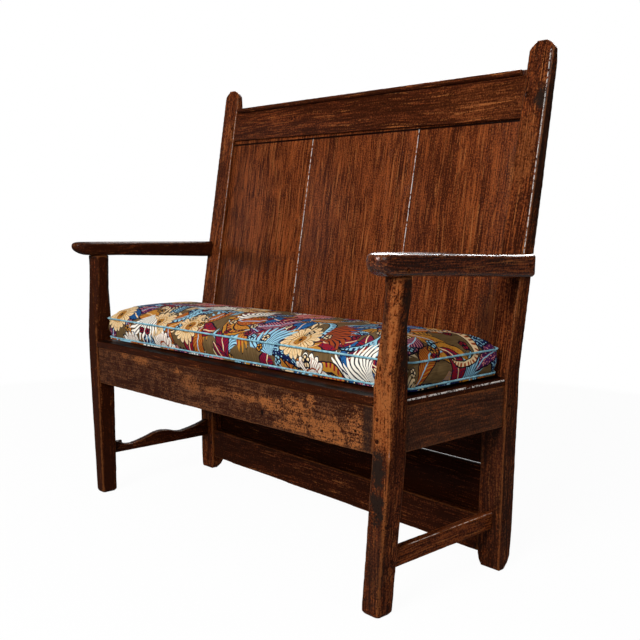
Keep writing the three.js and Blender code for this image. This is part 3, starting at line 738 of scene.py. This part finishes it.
        cell = self.scattered(cloth, Motif.FAN, (0.71, 0.83, 0.0))
        fan = self.spray(cell, self.fan_radius)
        base = cell.dye.bands((0.35, 0.6, 0.8), ink, navy, crimson, ink)
        pen = cell.dye.bands((0.35, 0.6, 0.8), white, sky, cream, rust)
        colour = self.laid(colour, fan, mix(fan.lines, base, pen), 0.66, cell)

        cell = self.scattered(cloth, Motif.SPRIG, (0.43, 0.09, 0.0))
        small = self.blossom(cell, self.sprig_radius, 5)
        tint = cell.dye.bands((0.3, 0.55, 0.8), sky, cream, crimson, gold)
        colour = self.laid(colour, small, mix(small.middle, tint, ink), 0.72, cell)

        weave = (flat * (1.0, 0.35, 1.0)).noise(1500.0, 1.0)
        return recipe.surface(colour, 0.82, weave, 0.3 * MM, 0.35, {"Specular IOR Level": 0.03})


def deselect_all() -> None:
    """Leaves nothing selected."""
    for thing in bpy.context.selected_objects:
        thing.select_set(False)


def take(piece: Object) -> None:
    """Makes a piece the only one selected, and the active one. Args: piece."""
    deselect_all()
    bpy.context.view_layer.objects.active = piece
    piece.select_set(True)


def apply_all(piece: Object) -> None:
    """Applies a piece's modifiers in their order. Args: piece."""
    take(piece)
    for modifier in list(piece.modifiers):
        bpy.ops.object.modifier_apply(modifier=modifier.name)


def merged_copy(node: str, name: str) -> Object:
    """Copies a solid of the frame and joins its loose triangles.

    Args:
        node: the solid's name.
        name: the copy's name.

    Returns:
        The copy, which is the only selected object.
    """
    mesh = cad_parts[node].data.copy()
    mesh.materials.clear()
    piece = bpy.data.objects.new(name, mesh)
    bpy.context.scene.collection.objects.link(piece)
    take(piece)
    bpy.ops.object.mode_set(mode="EDIT")
    bpy.ops.mesh.select_all(action="SELECT")
    bpy.ops.mesh.remove_doubles(threshold=0.01 * MM)
    bpy.ops.mesh.normals_make_consistent(inside=False)
    bpy.ops.object.mode_set(mode="OBJECT")
    return piece


def dress(piece: Object, finish: Material) -> None:
    """Gives a piece its only material. Args: piece, finish."""
    piece.data.materials.clear()
    piece.data.materials.append(finish)


def places_of(mesh: Mesh) -> np.ndarray:
    """Reads where a mesh's vertices are. Args: mesh. Returns: their places, one a row."""
    places = np.empty(len(mesh.vertices) * 3)
    mesh.vertices.foreach_get("co", places)
    return places.reshape(-1, 3)


def put(mesh: Mesh, places: np.ndarray) -> None:
    """Moves a mesh's vertices. Args: mesh, places, one a row."""
    mesh.vertices.foreach_set("co", places.ravel())
    mesh.update()


def wavy(piece: Object, name: str, size: float, depth: float) -> None:
    """Lets a piece's faces wander along their normals.

    Args:
        piece: the piece.
        name: the texture's name.
        size: how long the waves are, in metres.
        depth: how far they reach in all, in metres.
    """
    texture = bpy.data.textures.new(name, "CLOUDS")
    texture.noise_scale = size
    texture.noise_depth = 1
    wander = piece.modifiers.new(name, "DISPLACE")
    wander.texture = texture
    wander.texture_coords = "GLOBAL"
    wander.strength = depth
    wander.mid_level = 0.5


@dataclass
class Timber:
    """One wooden piece of the settle, hand-worked and worn."""

    node: str
    finish: OldOak
    grid: float = 2.8 * MM
    wander: float = 1.1 * MM
    wander_size: float = 0.11
    chips: float = 0.8 * MM
    chip_size: float = 0.016
    nose_length: float = 42.0 * MM
    sharp: float = math.radians(30)
    soft: float = math.radians(40)
    slot: str = "oak"
    planed: bool = False
    soft_nose: bool = False

    def smooth(self, piece: Object, name: str, rounds: int) -> Modifier:
        """Eases a piece's surface. Args: piece, name of the modifier, rounds. Returns: the modifier."""
        ease = piece.modifiers.new(name, "SMOOTH")
        ease.factor = 0.5
        ease.iterations = rounds
        return ease

    def round_nose(self, piece: Object) -> None:
        """Rounds the front end of an arm. Args: piece."""
        apply_all(piece)
        foremost = min(vertex.co.y for vertex in piece.data.vertices)
        nose = piece.vertex_groups.new(name="nose")
        for vertex in piece.data.vertices:
            share = 1.0 - (vertex.co.y - foremost) / self.nose_length
            if share > 0:
                nose.add([vertex.index], min(1.0, 2.0 * share), "REPLACE")
        self.smooth(piece, "rounder", 36).vertex_group = "nose"

    def wear(self, piece: Object) -> None:
        """Rounds a piece off and makes its surface uneven.

        Args:
            piece: the piece, with a plain mesh.
        """
        remesh = piece.modifiers.new("worn_round", "REMESH")
        remesh.mode = "VOXEL"
        remesh.voxel_size = self.grid * 1.0
        self.smooth(piece, "ease", 2)
        if self.soft_nose:
            self.round_nose(piece)
        wavy(piece, self.node + "_wander", self.wander_size, self.wander)
        wavy(piece, self.node + "_chips", self.chip_size, self.chips)
        apply_all(piece)
        bpy.ops.object.shade_smooth()

    def plane(self, piece: Object) -> None:
        """Only breaks the arrises of a flat board.

        Args:
            piece: the board, with a plain mesh.
        """
        arris = piece.modifiers.new("arris", "BEVEL")
        arris.width = self.chips
        arris.segments = 3
        arris.limit_method = "ANGLE"
        arris.angle_limit = self.sharp
        apply_all(piece)
        bpy.ops.object.shade_smooth_by_angle(angle=self.soft)

    def make(self) -> Object:
        """Makes the piece. Returns: the piece."""
        piece = merged_copy(self.node, "worn_" + self.node)
        if self.planed:
            self.plane(piece)
        else:
            self.wear(piece)
        dress(piece, self.finish.build())
        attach(piece, Body.FRAME.value)
        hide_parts(self.node)
        log.info("%s: %d faces", piece.name, len(piece.data.polygons))
        return piece


def front_spots(face: float, deep: float, *rows: tuple[float, ...]) -> tuple[Spot, ...]:
    """Places on a face that looks forward.

    Args:
        face: how far back the face is.
        deep: how deep the places reach into it.
        rows: each place's middle along X and Z, its half width, its half height and its strength.

    Returns:
        The places.
    """
    return tuple(Spot((x, face, z), (wide, deep, high), strength) for x, z, wide, high, strength in rows)


@dataclass
class WoodFrame:
    """The settle's wooden frame: posts, legs, arms, rails, boards and planks."""

    seam_left: float = -0.1748  # where the back boards meet
    seam_right: float = 0.2292
    board_top: float = 1.046
    board_foot: float = 0.540
    peg_tone: float = -0.6
    hidden_tone: float = -0.5

    def seam(self, x: float, top: float, foot: float, width: float) -> Arris:
        """A line down the back. Args: x, how far back its top and foot are, width. Returns: the line."""
        return Arris((x, top, self.board_top), (x, foot, self.board_foot), width)

    def uprights(self) -> list[Timber]:
        """The posts and legs. Returns: the timbers."""
        grain = Grain.UPRIGHT
        outward = (1.0, -1.0, 0.0)
        # Painted highlights: pale glint lines along the left post's, the right post's and the right leg's
        # arrises.
        left_post_glint = Arris((-0.5495, 0.2630, 1.155), (-0.5495, 0.1600, 0.540), 0.8 * MM, 0.4, outward)
        right_post_glint = Arris((0.5985, 0.2690, 1.194), (0.6045, 0.1935, 0.745), 1.2 * MM, 0.62, outward)
        leg_glint = Arris((0.609, -0.2395, 0.480), (0.599, -0.2400, 0.030), 1.2 * MM, 0.5)
        right_post = OldOak(
            "right_post_oak", grain, tone=-0.20, arrises=(right_post_glint,),
            rubs=(Spot((0.567, 0.2320, 0.976), (0.022, 0.02, 0.09), 0.35),),
            stains_and_shade=(
                Spot((0.590, 0.2505, 1.086), (0.016, 0.03, 0.026)),
                # Painted shade on the right post's outer side, above the arm.
                Spot((0.6075, 0.250, 0.980), (0.0060, 0.080, 0.270), 0.8),
                # Darker towards the foot of the post, below the seat.
                Spot((0.5900, 0.150, 0.200), (0.0400, 0.120, 0.260), 0.35),
            ),
            holes=(Spot((0.5496, 0.2533, 1.1006), (0.0042, 0.008, 0.0065)),))
        right_leg = OldOak(
            "right_leg_oak", grain, tone=-0.20, worm=0.5, arrises=(leg_glint,),
            rubs=(
                Spot((0.6040, -0.2350, 0.575), (0.0090, 0.009, 0.060)),
                Spot((0.6080, -0.2345, 0.635), (0.0090, 0.009, 0.050)),
                Spot((0.6155, -0.2345, 0.688), (0.0085, 0.009, 0.030)),
                Spot((0.584, LEG_FACE, 0.480), (0.034, 0.014, 0.135), 0.9),
                Spot((0.600, LEG_FACE, 0.150), (0.012, 0.012, 0.14), 0.3),
            ),
            stains_and_shade=(
                *front_spots(LEG_FACE, 0.010, (0.575, 0.322, 0.022, 0.042, 1.0),
                             (0.575, 0.245, 0.020, 0.032, 1.0), (0.575, 0.110, 0.030, 0.10, 0.55)),
                # Painted shade on the back part of the leg's outer side, above the seat.
                Spot((0.6180, -0.2010, 0.625), (0.012, 0.020, 0.16), 0.85),
                Spot((0.5895, LEG_FACE, 0.630), (0.007, 0.006, 0.12), 0.5),
            ))
        return [
            Timber("rear_post_left", OldOak("left_post_oak", grain, tone=-0.08, arrises=(left_post_glint,))),
            Timber("rear_post_right", right_post),
            Timber("front_leg_left", OldOak("left_leg_oak", grain, tone=-0.70)),
            Timber("front_leg_right", right_leg),
        ]

    def arms(self) -> list[Timber]:
        """The two arms. Returns: the timbers."""
        grain = Grain.ALONG_Y
        finishes = {
            "arm_left": OldOak("left_arm_oak", grain, tone=-0.68, roughness=0.6, polish=0.08),
            "arm_right": OldOak("right_arm_oak", grain, tone=-0.15, roughness=0.40, polish=0.9),
        }
        return [Timber(node, finish, wander=0.6 * MM, chips=0.4 * MM, soft_nose=True)
                for node, finish in finishes.items()]

    def rails(self) -> list[Timber]:
        """The crest and its cap, the seat rails, the stretchers and the lower rails. Returns: the timbers."""
        across, deep = Grain.ALONG_X, Grain.ALONG_Y
        crest = OldOak(
            "crest_oak", across, tone=-0.25, fibrous=2.0, edge_wear=0.0,
            rubs=(Spot((0.450, 0.2500, 1.100), (0.150, 0.030, 0.050), 0.13),),
            holes=front_spots(0.2575, 0.006, (-0.273, 1.1074, 0.003, 0.003, 1.0),
                              (-0.262, 1.1120, 0.003, 0.003, 1.0), (-0.284, 1.1100, 0.003, 0.003, 1.0)))
        front = OldOak(
            "front_rail_oak", across, body=DULL, warm=(0.13, 0.044, 0.016), tone=-0.18, streaky=1.3,
            fibrous=2.2, smudged=1.0, mottled=3.2, speckled=3.6, polish=0.14, glow=0.15, worm=0.5,
            rubs=front_spots(
                RAIL_FACE, 0.02,
                (0.146, 0.400, 0.060, 0.009, 0.80),
                (0.238, 0.399, 0.050, 0.014, 1.00),
                (0.322, 0.402, 0.046, 0.026, 1.00),
                (0.371, 0.432, 0.012, 0.014, 1.00),
                (0.310, 0.361, 0.060, 0.009, 0.80),
                (0.425, 0.372, 0.074, 0.028, 0.95),
                (0.511, 0.392, 0.026, 0.042, 1.00),
                (-0.411, 0.437, 0.016, 0.007, 0.80),
                (-0.324, 0.433, 0.036, 0.012, 0.70),
                (-0.144, 0.427, 0.016, 0.009, 0.80),
                (-0.090, 0.403, 0.040, 0.016, 0.50),
                (0.020, 0.400, 0.050, 0.014, 0.40)),
            stains_and_shade=front_spots(RAIL_FACE, 0.02, (0.541, 0.400, 0.012, 0.08, 0.7)),
            holes=front_spots(
                RAIL_FACE, 0.012,
                (0.2018, 0.3760, 0.0052, 0.0070, 1.0),
                (0.5069, 0.3884, 0.0034, 0.0034, 1.0),
                (0.4067, 0.3700, 0.0034, 0.0034, 1.0)))
        side = OldOak("right_side_rail_oak", deep, body=DULL, tone=0.0, streaky=0.4, fibrous=1.3,
                      patchy=0.6, speckled=1.5, glow=0.1, polish=0.2)
        glint = Arris((0.5825, -0.150, 0.1418), (0.5825, 0.150, 0.1418), 1.5 * MM, 0.9)
        stretcher = OldOak("right_stretcher_oak", deep, tone=0.05, arrises=(glint,))
        return [
            Timber("crest_rail", crest, planed=True),
            Timber("crest_cap_moulding", OldOak("cap_oak", across, tone=-0.42, edge_wear=0.1),
                   grid=2.0 * MM, wander=0.4 * MM),
            Timber("front_seat_rail", front),
            Timber("side_seat_rail_left", OldOak("left_side_rail_oak", deep, tone=-0.3)),
            Timber("side_seat_rail_right", side),
            Timber("side_stretcher_left", OldOak("left_stretcher_oak", deep, tone=-0.60), grid=2.2 * MM),
            Timber("side_stretcher_right", stretcher, grid=2.2 * MM),
            Timber("lower_back_rail", OldOak("lower_rail_oak", across, tone=-0.50)),
            Timber("seat_back_rail", OldOak("back_rail_oak", across, tone=-0.4, edge_wear=0.0),
                   chips=1.2 * MM, planed=True),
        ]

    def boards(self) -> list[Timber]:
        """The boards of the back. Returns: the timbers."""
        gap = 1.3 * MM
        # Painted shadow: a dark band on the boards just under the crest rail.
        crest_shadow = Arris((-0.560, 0.2550, 1.0465), (0.550, 0.2545, 1.0445), 3.5 * MM)
        # Painted shade in the gaps where the boards meet.
        left_gap_shade = self.seam(self.seam_left + gap, 0.2620, 0.1770, 6.0 * MM)
        right_gap_shade = self.seam(self.seam_right + gap, 0.2620, 0.1770, 6.0 * MM)
        left = OldOak(
            "left_board_oak", Grain.UPRIGHT, tone=0.05, fibrous=3.5, polish=0.17, edge_wear=0.0,
            # Painted highlight along the board's right arris at the seam.
            arrises=(self.seam(self.seam_left, 0.2543, 0.1698, 1.6 * MM),), painted_shade_lines=(left_gap_shade, crest_shadow),
            stains_and_shade=(
                # Painted shadow of the left arm across the board.
                Spot((-0.400, 0.2000, 0.690), (0.130, 0.05, 0.028), 0.45),
                # Painted shade low in the corner by the left post, under the arm.
                Spot((-0.520, 0.1900, 0.560), (0.060, 0.05, 0.090), 0.45),
            ))
        middle = OldOak(
            "middle_board_oak", Grain.UPRIGHT, tone=0.04, polish=0.18, edge_wear=0.0,
            # Painted highlight along the board's right arris at the seam.
            arrises=(self.seam(self.seam_right, 0.2543, 0.1698, 1.6 * MM),),
            painted_shade_lines=(left_gap_shade, right_gap_shade, crest_shadow))
        right = OldOak(
            "right_board_oak", Grain.UPRIGHT, tone=0.0, fibrous=2.2, edge_wear=0.0,
            painted_shade_lines=(right_gap_shade, crest_shadow),
            # Painted shadow of the right arm on the board, by the post.
            stains_and_shade=(Spot((0.530, 0.1783, 0.590), (0.040, 0.05, 0.090), 0.5),))
        finishes = {"back_board_left": left, "back_board_middle": middle, "back_board_right": right}
        return [Timber(node, finish, chips=1.0 * MM, slot="board_oak", planed=True)
                for node, finish in finishes.items()]

    def seat(self) -> list[Timber]:
        """The seat's planks and the panels below it. Returns: the timbers."""
        # Painted highlights along the planks' right end arris and along the front plank's top front arris.
        plank_end_glint = Arris((0.6000, -0.183, 0.4600), (0.6000, 0.147, 0.4610), 2.4 * MM)
        plank_front_glint = Arris((-0.550, -0.2400, 0.4612), (0.530, -0.2400, 0.4670), 1.3 * MM, 0.35)
        # Painted shade on the seat's top where the cushion shades it, along the right end and the front.
        end_shade = Arris((0.5850, -0.190, 0.4765), (0.5850, 0.150, 0.4765), 20.0 * MM)
        front_shade = Arris((-0.560, -0.2250, 0.4690), (0.540, -0.2250, 0.4745), 19.0 * MM)
        lines = {
            "front": ((plank_end_glint, plank_front_glint), (end_shade, front_shade)),
            "rear": ((plank_end_glint,), (end_shade,)),
        }
        planks = [
            Timber("seat_plank_" + name, OldOak(
                name + "_plank_oak", Grain.ALONG_X, tone=-0.60, polish=0.05, edge_wear=0.0, arrises=arrises,
                painted_shade_lines=painted_shade_lines), chips=1.6 * MM, planed=True)
            for name, (arrises, painted_shade_lines) in lines.items()
        ]
        panels = [
            Timber(name + "_back_panel", OldOak(
                name + "_panel_oak", Grain.ALONG_X, tone=-0.55, roughness=0.6, polish=0.03, edge_wear=0.0,
            ), chips=2.6 * MM, slot="dark_oak", planed=True)
            for name in ("upper", "lower")
        ]
        return planks + panels

    def make(self) -> None:
        """Makes the worn pieces and dresses the hidden ones and the pegs."""
        made = set()
        for timber in self.uprights() + self.arms() + self.rails() + self.boards() + self.seat():
            timber.make()
            made.add(timber.node)
        rough = OldOak("rough_oak", Grain.ALONG_X, tone=self.hidden_tone, roughness=0.6).build()
        pegs = OldOak("peg_oak", Grain.ALONG_Y, tone=self.peg_tone, edge_wear=0.0).build()
        for name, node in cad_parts.items():
            if name not in made and not name.startswith("cushion"):
                dress(node, pegs if "_peg_" in name else rough)


@dataclass
class Cushion:
    """The loose box cushion: a printed cotton cover, filled, with a blue cord along each seam."""

    cloth_map = "cloth"

    grid: float = 6.0 * MM
    pressure: float = 4.0
    frames: int = 20
    quality: int = 4
    swell: float = 7.0 * MM
    cord_radius: float = 3.4 * MM
    corner: float = 26.0 * MM
    cord_slimming: float = 0.8 * MM
    cord_waver: float = 0.9 * MM
    shrink: float = -0.012
    roll: float = 9.0 * MM
    roll_height: float = 11.0 * MM
    skew: float = math.radians(1.6)
    slope: float = math.atan(6 / 1210)
    under_shift: float = 2.0  # how far from the top the underside is laid out on the cloth
    centre: Vector = field(default_factory=Vector)
    half: tuple[float, float] = (0.0, 0.0)
    seam_high: float = 0.0
    seam_low: float = 0.0

    def measure(self) -> None:
        """Works out the cushion's middle, its half size at the seams and the seams' heights at the middle."""
        low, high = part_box("cushion_piping_upper")
        self.centre = (low + high) / 2
        outer = (high - low) / 2
        reach = 2 * self.cord_radius
        turn = math.sin(self.skew)
        depth = outer.y - reach - (outer.x - reach) * turn
        self.half = (outer.x - reach - depth * turn, depth)
        self.seam_high = self.centre.z
        low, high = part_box("cushion_piping_lower")
        self.seam_low = (low.z + high.z) / 2

    def flat_places(self, points: np.ndarray) -> np.ndarray:
        """Turns places on the cushion into its own upright axes, with its middle at the origin.

        Args:
            points: places in the frame, one a row.

        Returns:
            Places along it, across it and above its upper seam, one a row.
        """
        upright = Matrix.Rotation(self.slope, 4, "Y") @ Matrix.Rotation(-self.skew, 4, "Z")
        return (points - np.array(self.centre)) @ np.array(upright.to_3x3()).T

    def unfolded(self, points: np.ndarray) -> np.ndarray:
        """Lays the cover out flat, with the boxing folded out from the top panel so that the print runs on.

        Args:
            points: places in the cushion's own axes, one a row.

        Returns:
            Places on the flat cloth in metres, one a row.
        """
        inner = np.array(self.half) - self.corner
        core = np.clip(points[:, :2], -inner, inner)
        away = points[:, :2] - core
        span = np.linalg.norm(away, axis=1, keepdims=True)
        direction = away / np.maximum(span, 1e-6)
        drop = np.maximum(-points[:, 2:3], 0)
        spread = np.where(drop > 0, np.maximum(span, self.corner) + drop, span)
        return core + direction * spread

    def fill(self, piece: Object) -> None:
        """Blows the cover up with a cloth simulation, held at its seams and where it lies on the seat.

        Args:
            piece: the cover.
        """
        start = places_of(piece.data)
        own = self.flat_places(start)
        box = self.seam_high - self.seam_low
        near_seam = np.minimum(np.abs(own[:, 2]), np.abs(own[:, 2] + box)) < 0.7 * self.grid
        inner = np.array(self.half) - 3 * self.grid
        rim = (np.abs(own[:, :2]) > inner).any(axis=1)
        held = (near_seam & rim) | (own[:, 2] < -box - self.grid)
        pins = piece.vertex_groups.new(name="held")
        pins.add(np.flatnonzero(held).tolist(), 1.0, "REPLACE")
        cloth = piece.modifiers.new("filling", "CLOTH")
        cloth.settings.quality = self.quality
        cloth.settings.use_pressure = True
        cloth.settings.uniform_pressure_force = self.pressure
        cloth.settings.effector_weights.gravity = 0.0
        cloth.settings.vertex_group_mass = "held"
        cloth.settings.shrink_min = self.shrink
        cloth.collision_settings.use_self_collision = False
        scene = bpy.context.scene
        for step in range(1, self.frames + 1):
            scene.frame_set(step)
        graph = bpy.context.evaluated_depsgraph_get()
        move = places_of(piece.evaluated_get(graph).to_mesh()) - start
        piece.evaluated_get(graph).to_mesh_clear()
        piece.modifiers.remove(cloth)
        scene.frame_set(1)
        span = np.linalg.norm(move, axis=1, keepdims=True)
        put(piece.data, start + move * (self.swell * np.tanh(span / self.swell) / np.maximum(span, 1e-9)))
        log.info("cover swelled by up to %.1f mm", float(span.max()) / MM)

    def roll_out(self, piece: Object) -> None:
        """Pushes the rim below the lower cord out, so that the print shows under the cord as on a full cover.

        Args:
            piece: the cover.
        """
        spots = places_of(piece.data)
        own = self.flat_places(spots)
        below = -(own[:, 2] + self.seam_high - self.seam_low)
        share = np.clip(below / self.roll_height, 0.0, 1.0)
        below_rim = (share > 0) & (share < 1)
        inner = np.array(self.half) - self.corner
        away = own[:, :2] - np.clip(own[:, :2], -inner, inner)
        span = np.linalg.norm(away, axis=1, keepdims=True)
        rim = np.clip(span / (0.4 * self.corner), 0.0, 1.0)
        push = self.roll * np.sin(math.pi * share ** 0.6)[:, None] * rim * away / np.maximum(span, 1e-6)
        turned = Matrix.Rotation(self.skew, 3, "Z")
        spots[:, :2] += push @ np.array(turned)[:2, :2].T
        lower = self.roll_height * (np.sqrt(share) - share) * rim[:, 0]
        spots[:, 2] -= np.where(below_rim, lower, 0.0)
        put(piece.data, spots)

    def lay_out(self, piece: Object) -> None:
        """Writes the cover's cloth map, with the underside laid out apart.

        Args:
            piece: the cover.
        """
        mesh = piece.data
        own = self.flat_places(places_of(mesh))
        flat = self.unfolded(own)
        below = own[:, :2] + np.array([0.0, self.under_shift])
        corners = np.empty(len(mesh.loops), dtype=np.int32)
        mesh.loops.foreach_get("vertex_index", corners)
        centres = np.empty(len(mesh.polygons) * 3)
        mesh.polygons.foreach_get("center", centres)
        totals = np.empty(len(mesh.polygons), dtype=np.int32)
        mesh.polygons.foreach_get("loop_total", totals)
        box = self.seam_high - self.seam_low
        under = self.flat_places(centres.reshape(-1, 3))[:, 2] < -box
        under = np.repeat(under, totals)
        places = np.where(under[:, None], below[corners], flat[corners])
        cloth = mesh.uv_layers.new(name=self.cloth_map)
        cloth.data.foreach_set("uv", places.astype(np.float32).ravel())

    def cover(self) -> Object:
        """Makes the printed cover. Returns: the cover."""
        piece = merged_copy("cushion", "printed_cushion")
        remesh = piece.modifiers.new("even", "REMESH")
        remesh.mode = "VOXEL"
        remesh.voxel_size = self.grid
        apply_all(piece)
        self.fill(piece)
        finer = piece.modifiers.new("finer", "SUBSURF")
        finer.levels = 1
        finer.render_levels = 1
        apply_all(piece)
        self.roll_out(piece)
        bpy.ops.object.shade_smooth()
        self.lay_out(piece)
        dress(piece, LeafyPrint().build())
        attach(piece, Body.CUSHION.value)
        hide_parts("cushion")
        return piece

    def cord(self, node: str, finish: Material) -> Object:
        """Rounds one seam cord.

        Args:
            node: the solid of the cord.
            finish: its material.

        Returns:
            The cord.
        """
        piece = merged_copy(node, "blue_" + node)
        rounder = piece.modifiers.new("rounder", "SUBSURF")
        rounder.levels = 3
        rounder.render_levels = 3
        slim = piece.modifiers.new("slim", "DISPLACE")
        slim.strength = -self.cord_slimming
        slim.mid_level = 0.0
        wavy(piece, node + "_wander", 0.05, self.cord_waver)
        apply_all(piece)
        bpy.ops.object.shade_smooth()
        dress(piece, finish)
        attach(piece, Body.CUSHION.value)
        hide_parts(node)
        return piece

    def make(self) -> None:
        """Makes the cover and its two cords."""
        self.measure()
        cover = self.cover()
        finish = Piping().build()
        cords = [self.cord(node, finish) for node in ("cushion_piping_lower", "cushion_piping_upper")]
        for piece in (cover, *cords):
            log.info("%s: %d faces", piece.name, len(piece.data.polygons))


@dataclass(frozen=True)
class Camera:
    """The camera, at the photograph's viewing angle."""

    place: Point = (1.69937, -1.41594, 0.80114)
    yaw: float = math.radians(44.645)
    pitch: float = math.radians(10.621)
    roll: float = math.radians(-0.881)
    lens: float = 47.36
    shift: tuple[float, float] = (-0.0707, 0.1000)
    sensor: float = 36.0
    clip: float = 60.0

    def make(self) -> None:
        """Makes the camera and sets it as the scene's own."""
        ahead = Vector((
            -math.sin(self.yaw) * math.cos(self.pitch),
            math.cos(self.yaw) * math.cos(self.pitch),
            -math.sin(self.pitch),
        ))
        level = Vector((math.cos(self.yaw), math.sin(self.yaw), 0.0))
        down = ahead.cross(level)
        right = math.cos(self.roll) * level + math.sin(self.roll) * down
        under = -math.sin(self.roll) * level + math.cos(self.roll) * down
        data = bpy.data.cameras.new("view")
        data.lens = self.lens
        data.sensor_width = self.sensor
        data.shift_x, data.shift_y = self.shift
        data.clip_end = self.clip
        holder = bpy.data.objects.new("view", data)
        bpy.context.scene.collection.objects.link(holder)
        turned = Matrix((right, -under, -ahead)).transposed().to_4x4()
        holder.matrix_world = Matrix.Translation(self.place) @ turned
        bpy.context.scene.camera = holder


@dataclass(frozen=True)
class Lamp:
    """One soft square lamp."""

    name: str
    place: Point
    size: tuple[float, float]
    power: float
    aim: Point = (0.0, 0.0, 0.55)
    gloss_only: bool = False

    def make(self) -> None:
        """Makes the lamp."""
        data = bpy.data.lights.new(self.name, "AREA")
        data.shape = "RECTANGLE"
        data.size, data.size_y = self.size
        data.energy = self.power
        holder = bpy.data.objects.new(self.name, data)
        holder.visible_diffuse = not self.gloss_only
        bpy.context.scene.collection.objects.link(holder)
        turned = (Vector(self.aim) - Vector(self.place)).to_track_quat("-Z", "Y").to_matrix().to_4x4()
        holder.matrix_world = Matrix.Translation(self.place) @ turned


@dataclass(frozen=True)
class Studio:
    """The plain pale floor, the white surroundings and the lamps."""

    floor_reach: float = 14.0
    surroundings: float = 0.20
    mirrored_surroundings: float = 0.02
    backdrop: Point = (-0.70, 0.71, 0.0)
    backdrop_edge: tuple[float, float] = (0.70, 0.92)
    floor_fade: tuple[float, float] = (1.0, 2.6)
    floor_glow: float = 0.965
    floor_lit: Colour = (0.30, 0.30, 0.30)
    floor_seen: Colour = (0.95, 0.95, 0.95)
    lamps: tuple[Lamp, ...] = (
        Lamp("key", (1.3, -4.2, 3.0), (2.2, 2.2), 275.0),
        Lamp("side", (3.8, -0.4, 2.2), (1.6, 1.6), 22.0),
        Lamp("sheen", (-1.7, 2.3, 3.5), (1.8, 1.8), 380.0, gloss_only=True),
        Lamp("rim", (0.25, 3.2, 3.4), (0.7, 1.6), 200.0, gloss_only=True),
        Lamp("window", (-4.0, -1.8, 1.4), (1.6, 2.0), 6.0, gloss_only=True),
    )

    def make_world(self) -> None:
        """Makes the surroundings: white to the eye, and dim as a light."""
        world = bpy.data.worlds.new("surroundings")
        world.use_nodes = True
        bpy.context.scene.world = world
        recipe = Recipe(world.node_tree)
        camera = recipe.get("LightPath", "Is Camera Ray")
        through = recipe.get("LightPath", "Is Transmission Ray")
        mirrored = recipe.get("LightPath", "Is Glossy Ray").most(through)
        direction = recipe.get("TexCoord", "Generated", result=Place)
        behind = direction.dot(self.backdrop).step(*self.backdrop_edge)
        dim = mirrored * (self.mirrored_surroundings - self.surroundings) + self.surroundings
        strength = camera.most(mirrored * behind, dim)
        shade = recipe.add("Background", {"Color": WHITE, "Strength": strength})
        recipe.add("OutputWorld", {"Surface": shade.outputs[0]})

    def make_floor(self) -> None:
        """Makes the pale floor, which fades into the surroundings and keeps the settle's shadow."""
        deselect_all()
        bpy.ops.mesh.primitive_plane_add(size=2 * self.floor_reach, location=(0, 0, 0))
        floor = bpy.context.object
        floor.name = "floor"
        recipe = Recipe.for_material("pale_floor")
        seen = recipe.get("LightPath", "Is Camera Ray")
        faded = recipe.real_place().length().step(*self.floor_fade).most(self.floor_glow)
        paint = recipe.mix(seen, self.floor_lit, self.floor_seen)
        matt = recipe.add("BsdfDiffuse", {"Color": paint}).outputs[0]
        bright = recipe.add("Emission", {"Color": WHITE}).outputs[0]
        shader = recipe.add("MixShader", {0: faded * seen, 1: matt, 2: bright})
        floor.data.materials.append(recipe.finish(shader.outputs[0]))

    def make(self) -> None:
        """Makes the floor, the surroundings and the lamps."""
        self.make_world()
        self.make_floor()
        for lamp in self.lamps:
            lamp.make()
        bpy.context.scene.view_settings.view_transform = "Standard"


def main() -> None:
    """Builds the settle's looks around its frame."""
    logging.basicConfig(level=logging.INFO, format="%(message)s")
    Camera().make()
    Studio().make()
    WoodFrame().make()
    Cushion().make()


if __name__ == "__main__":
    main()
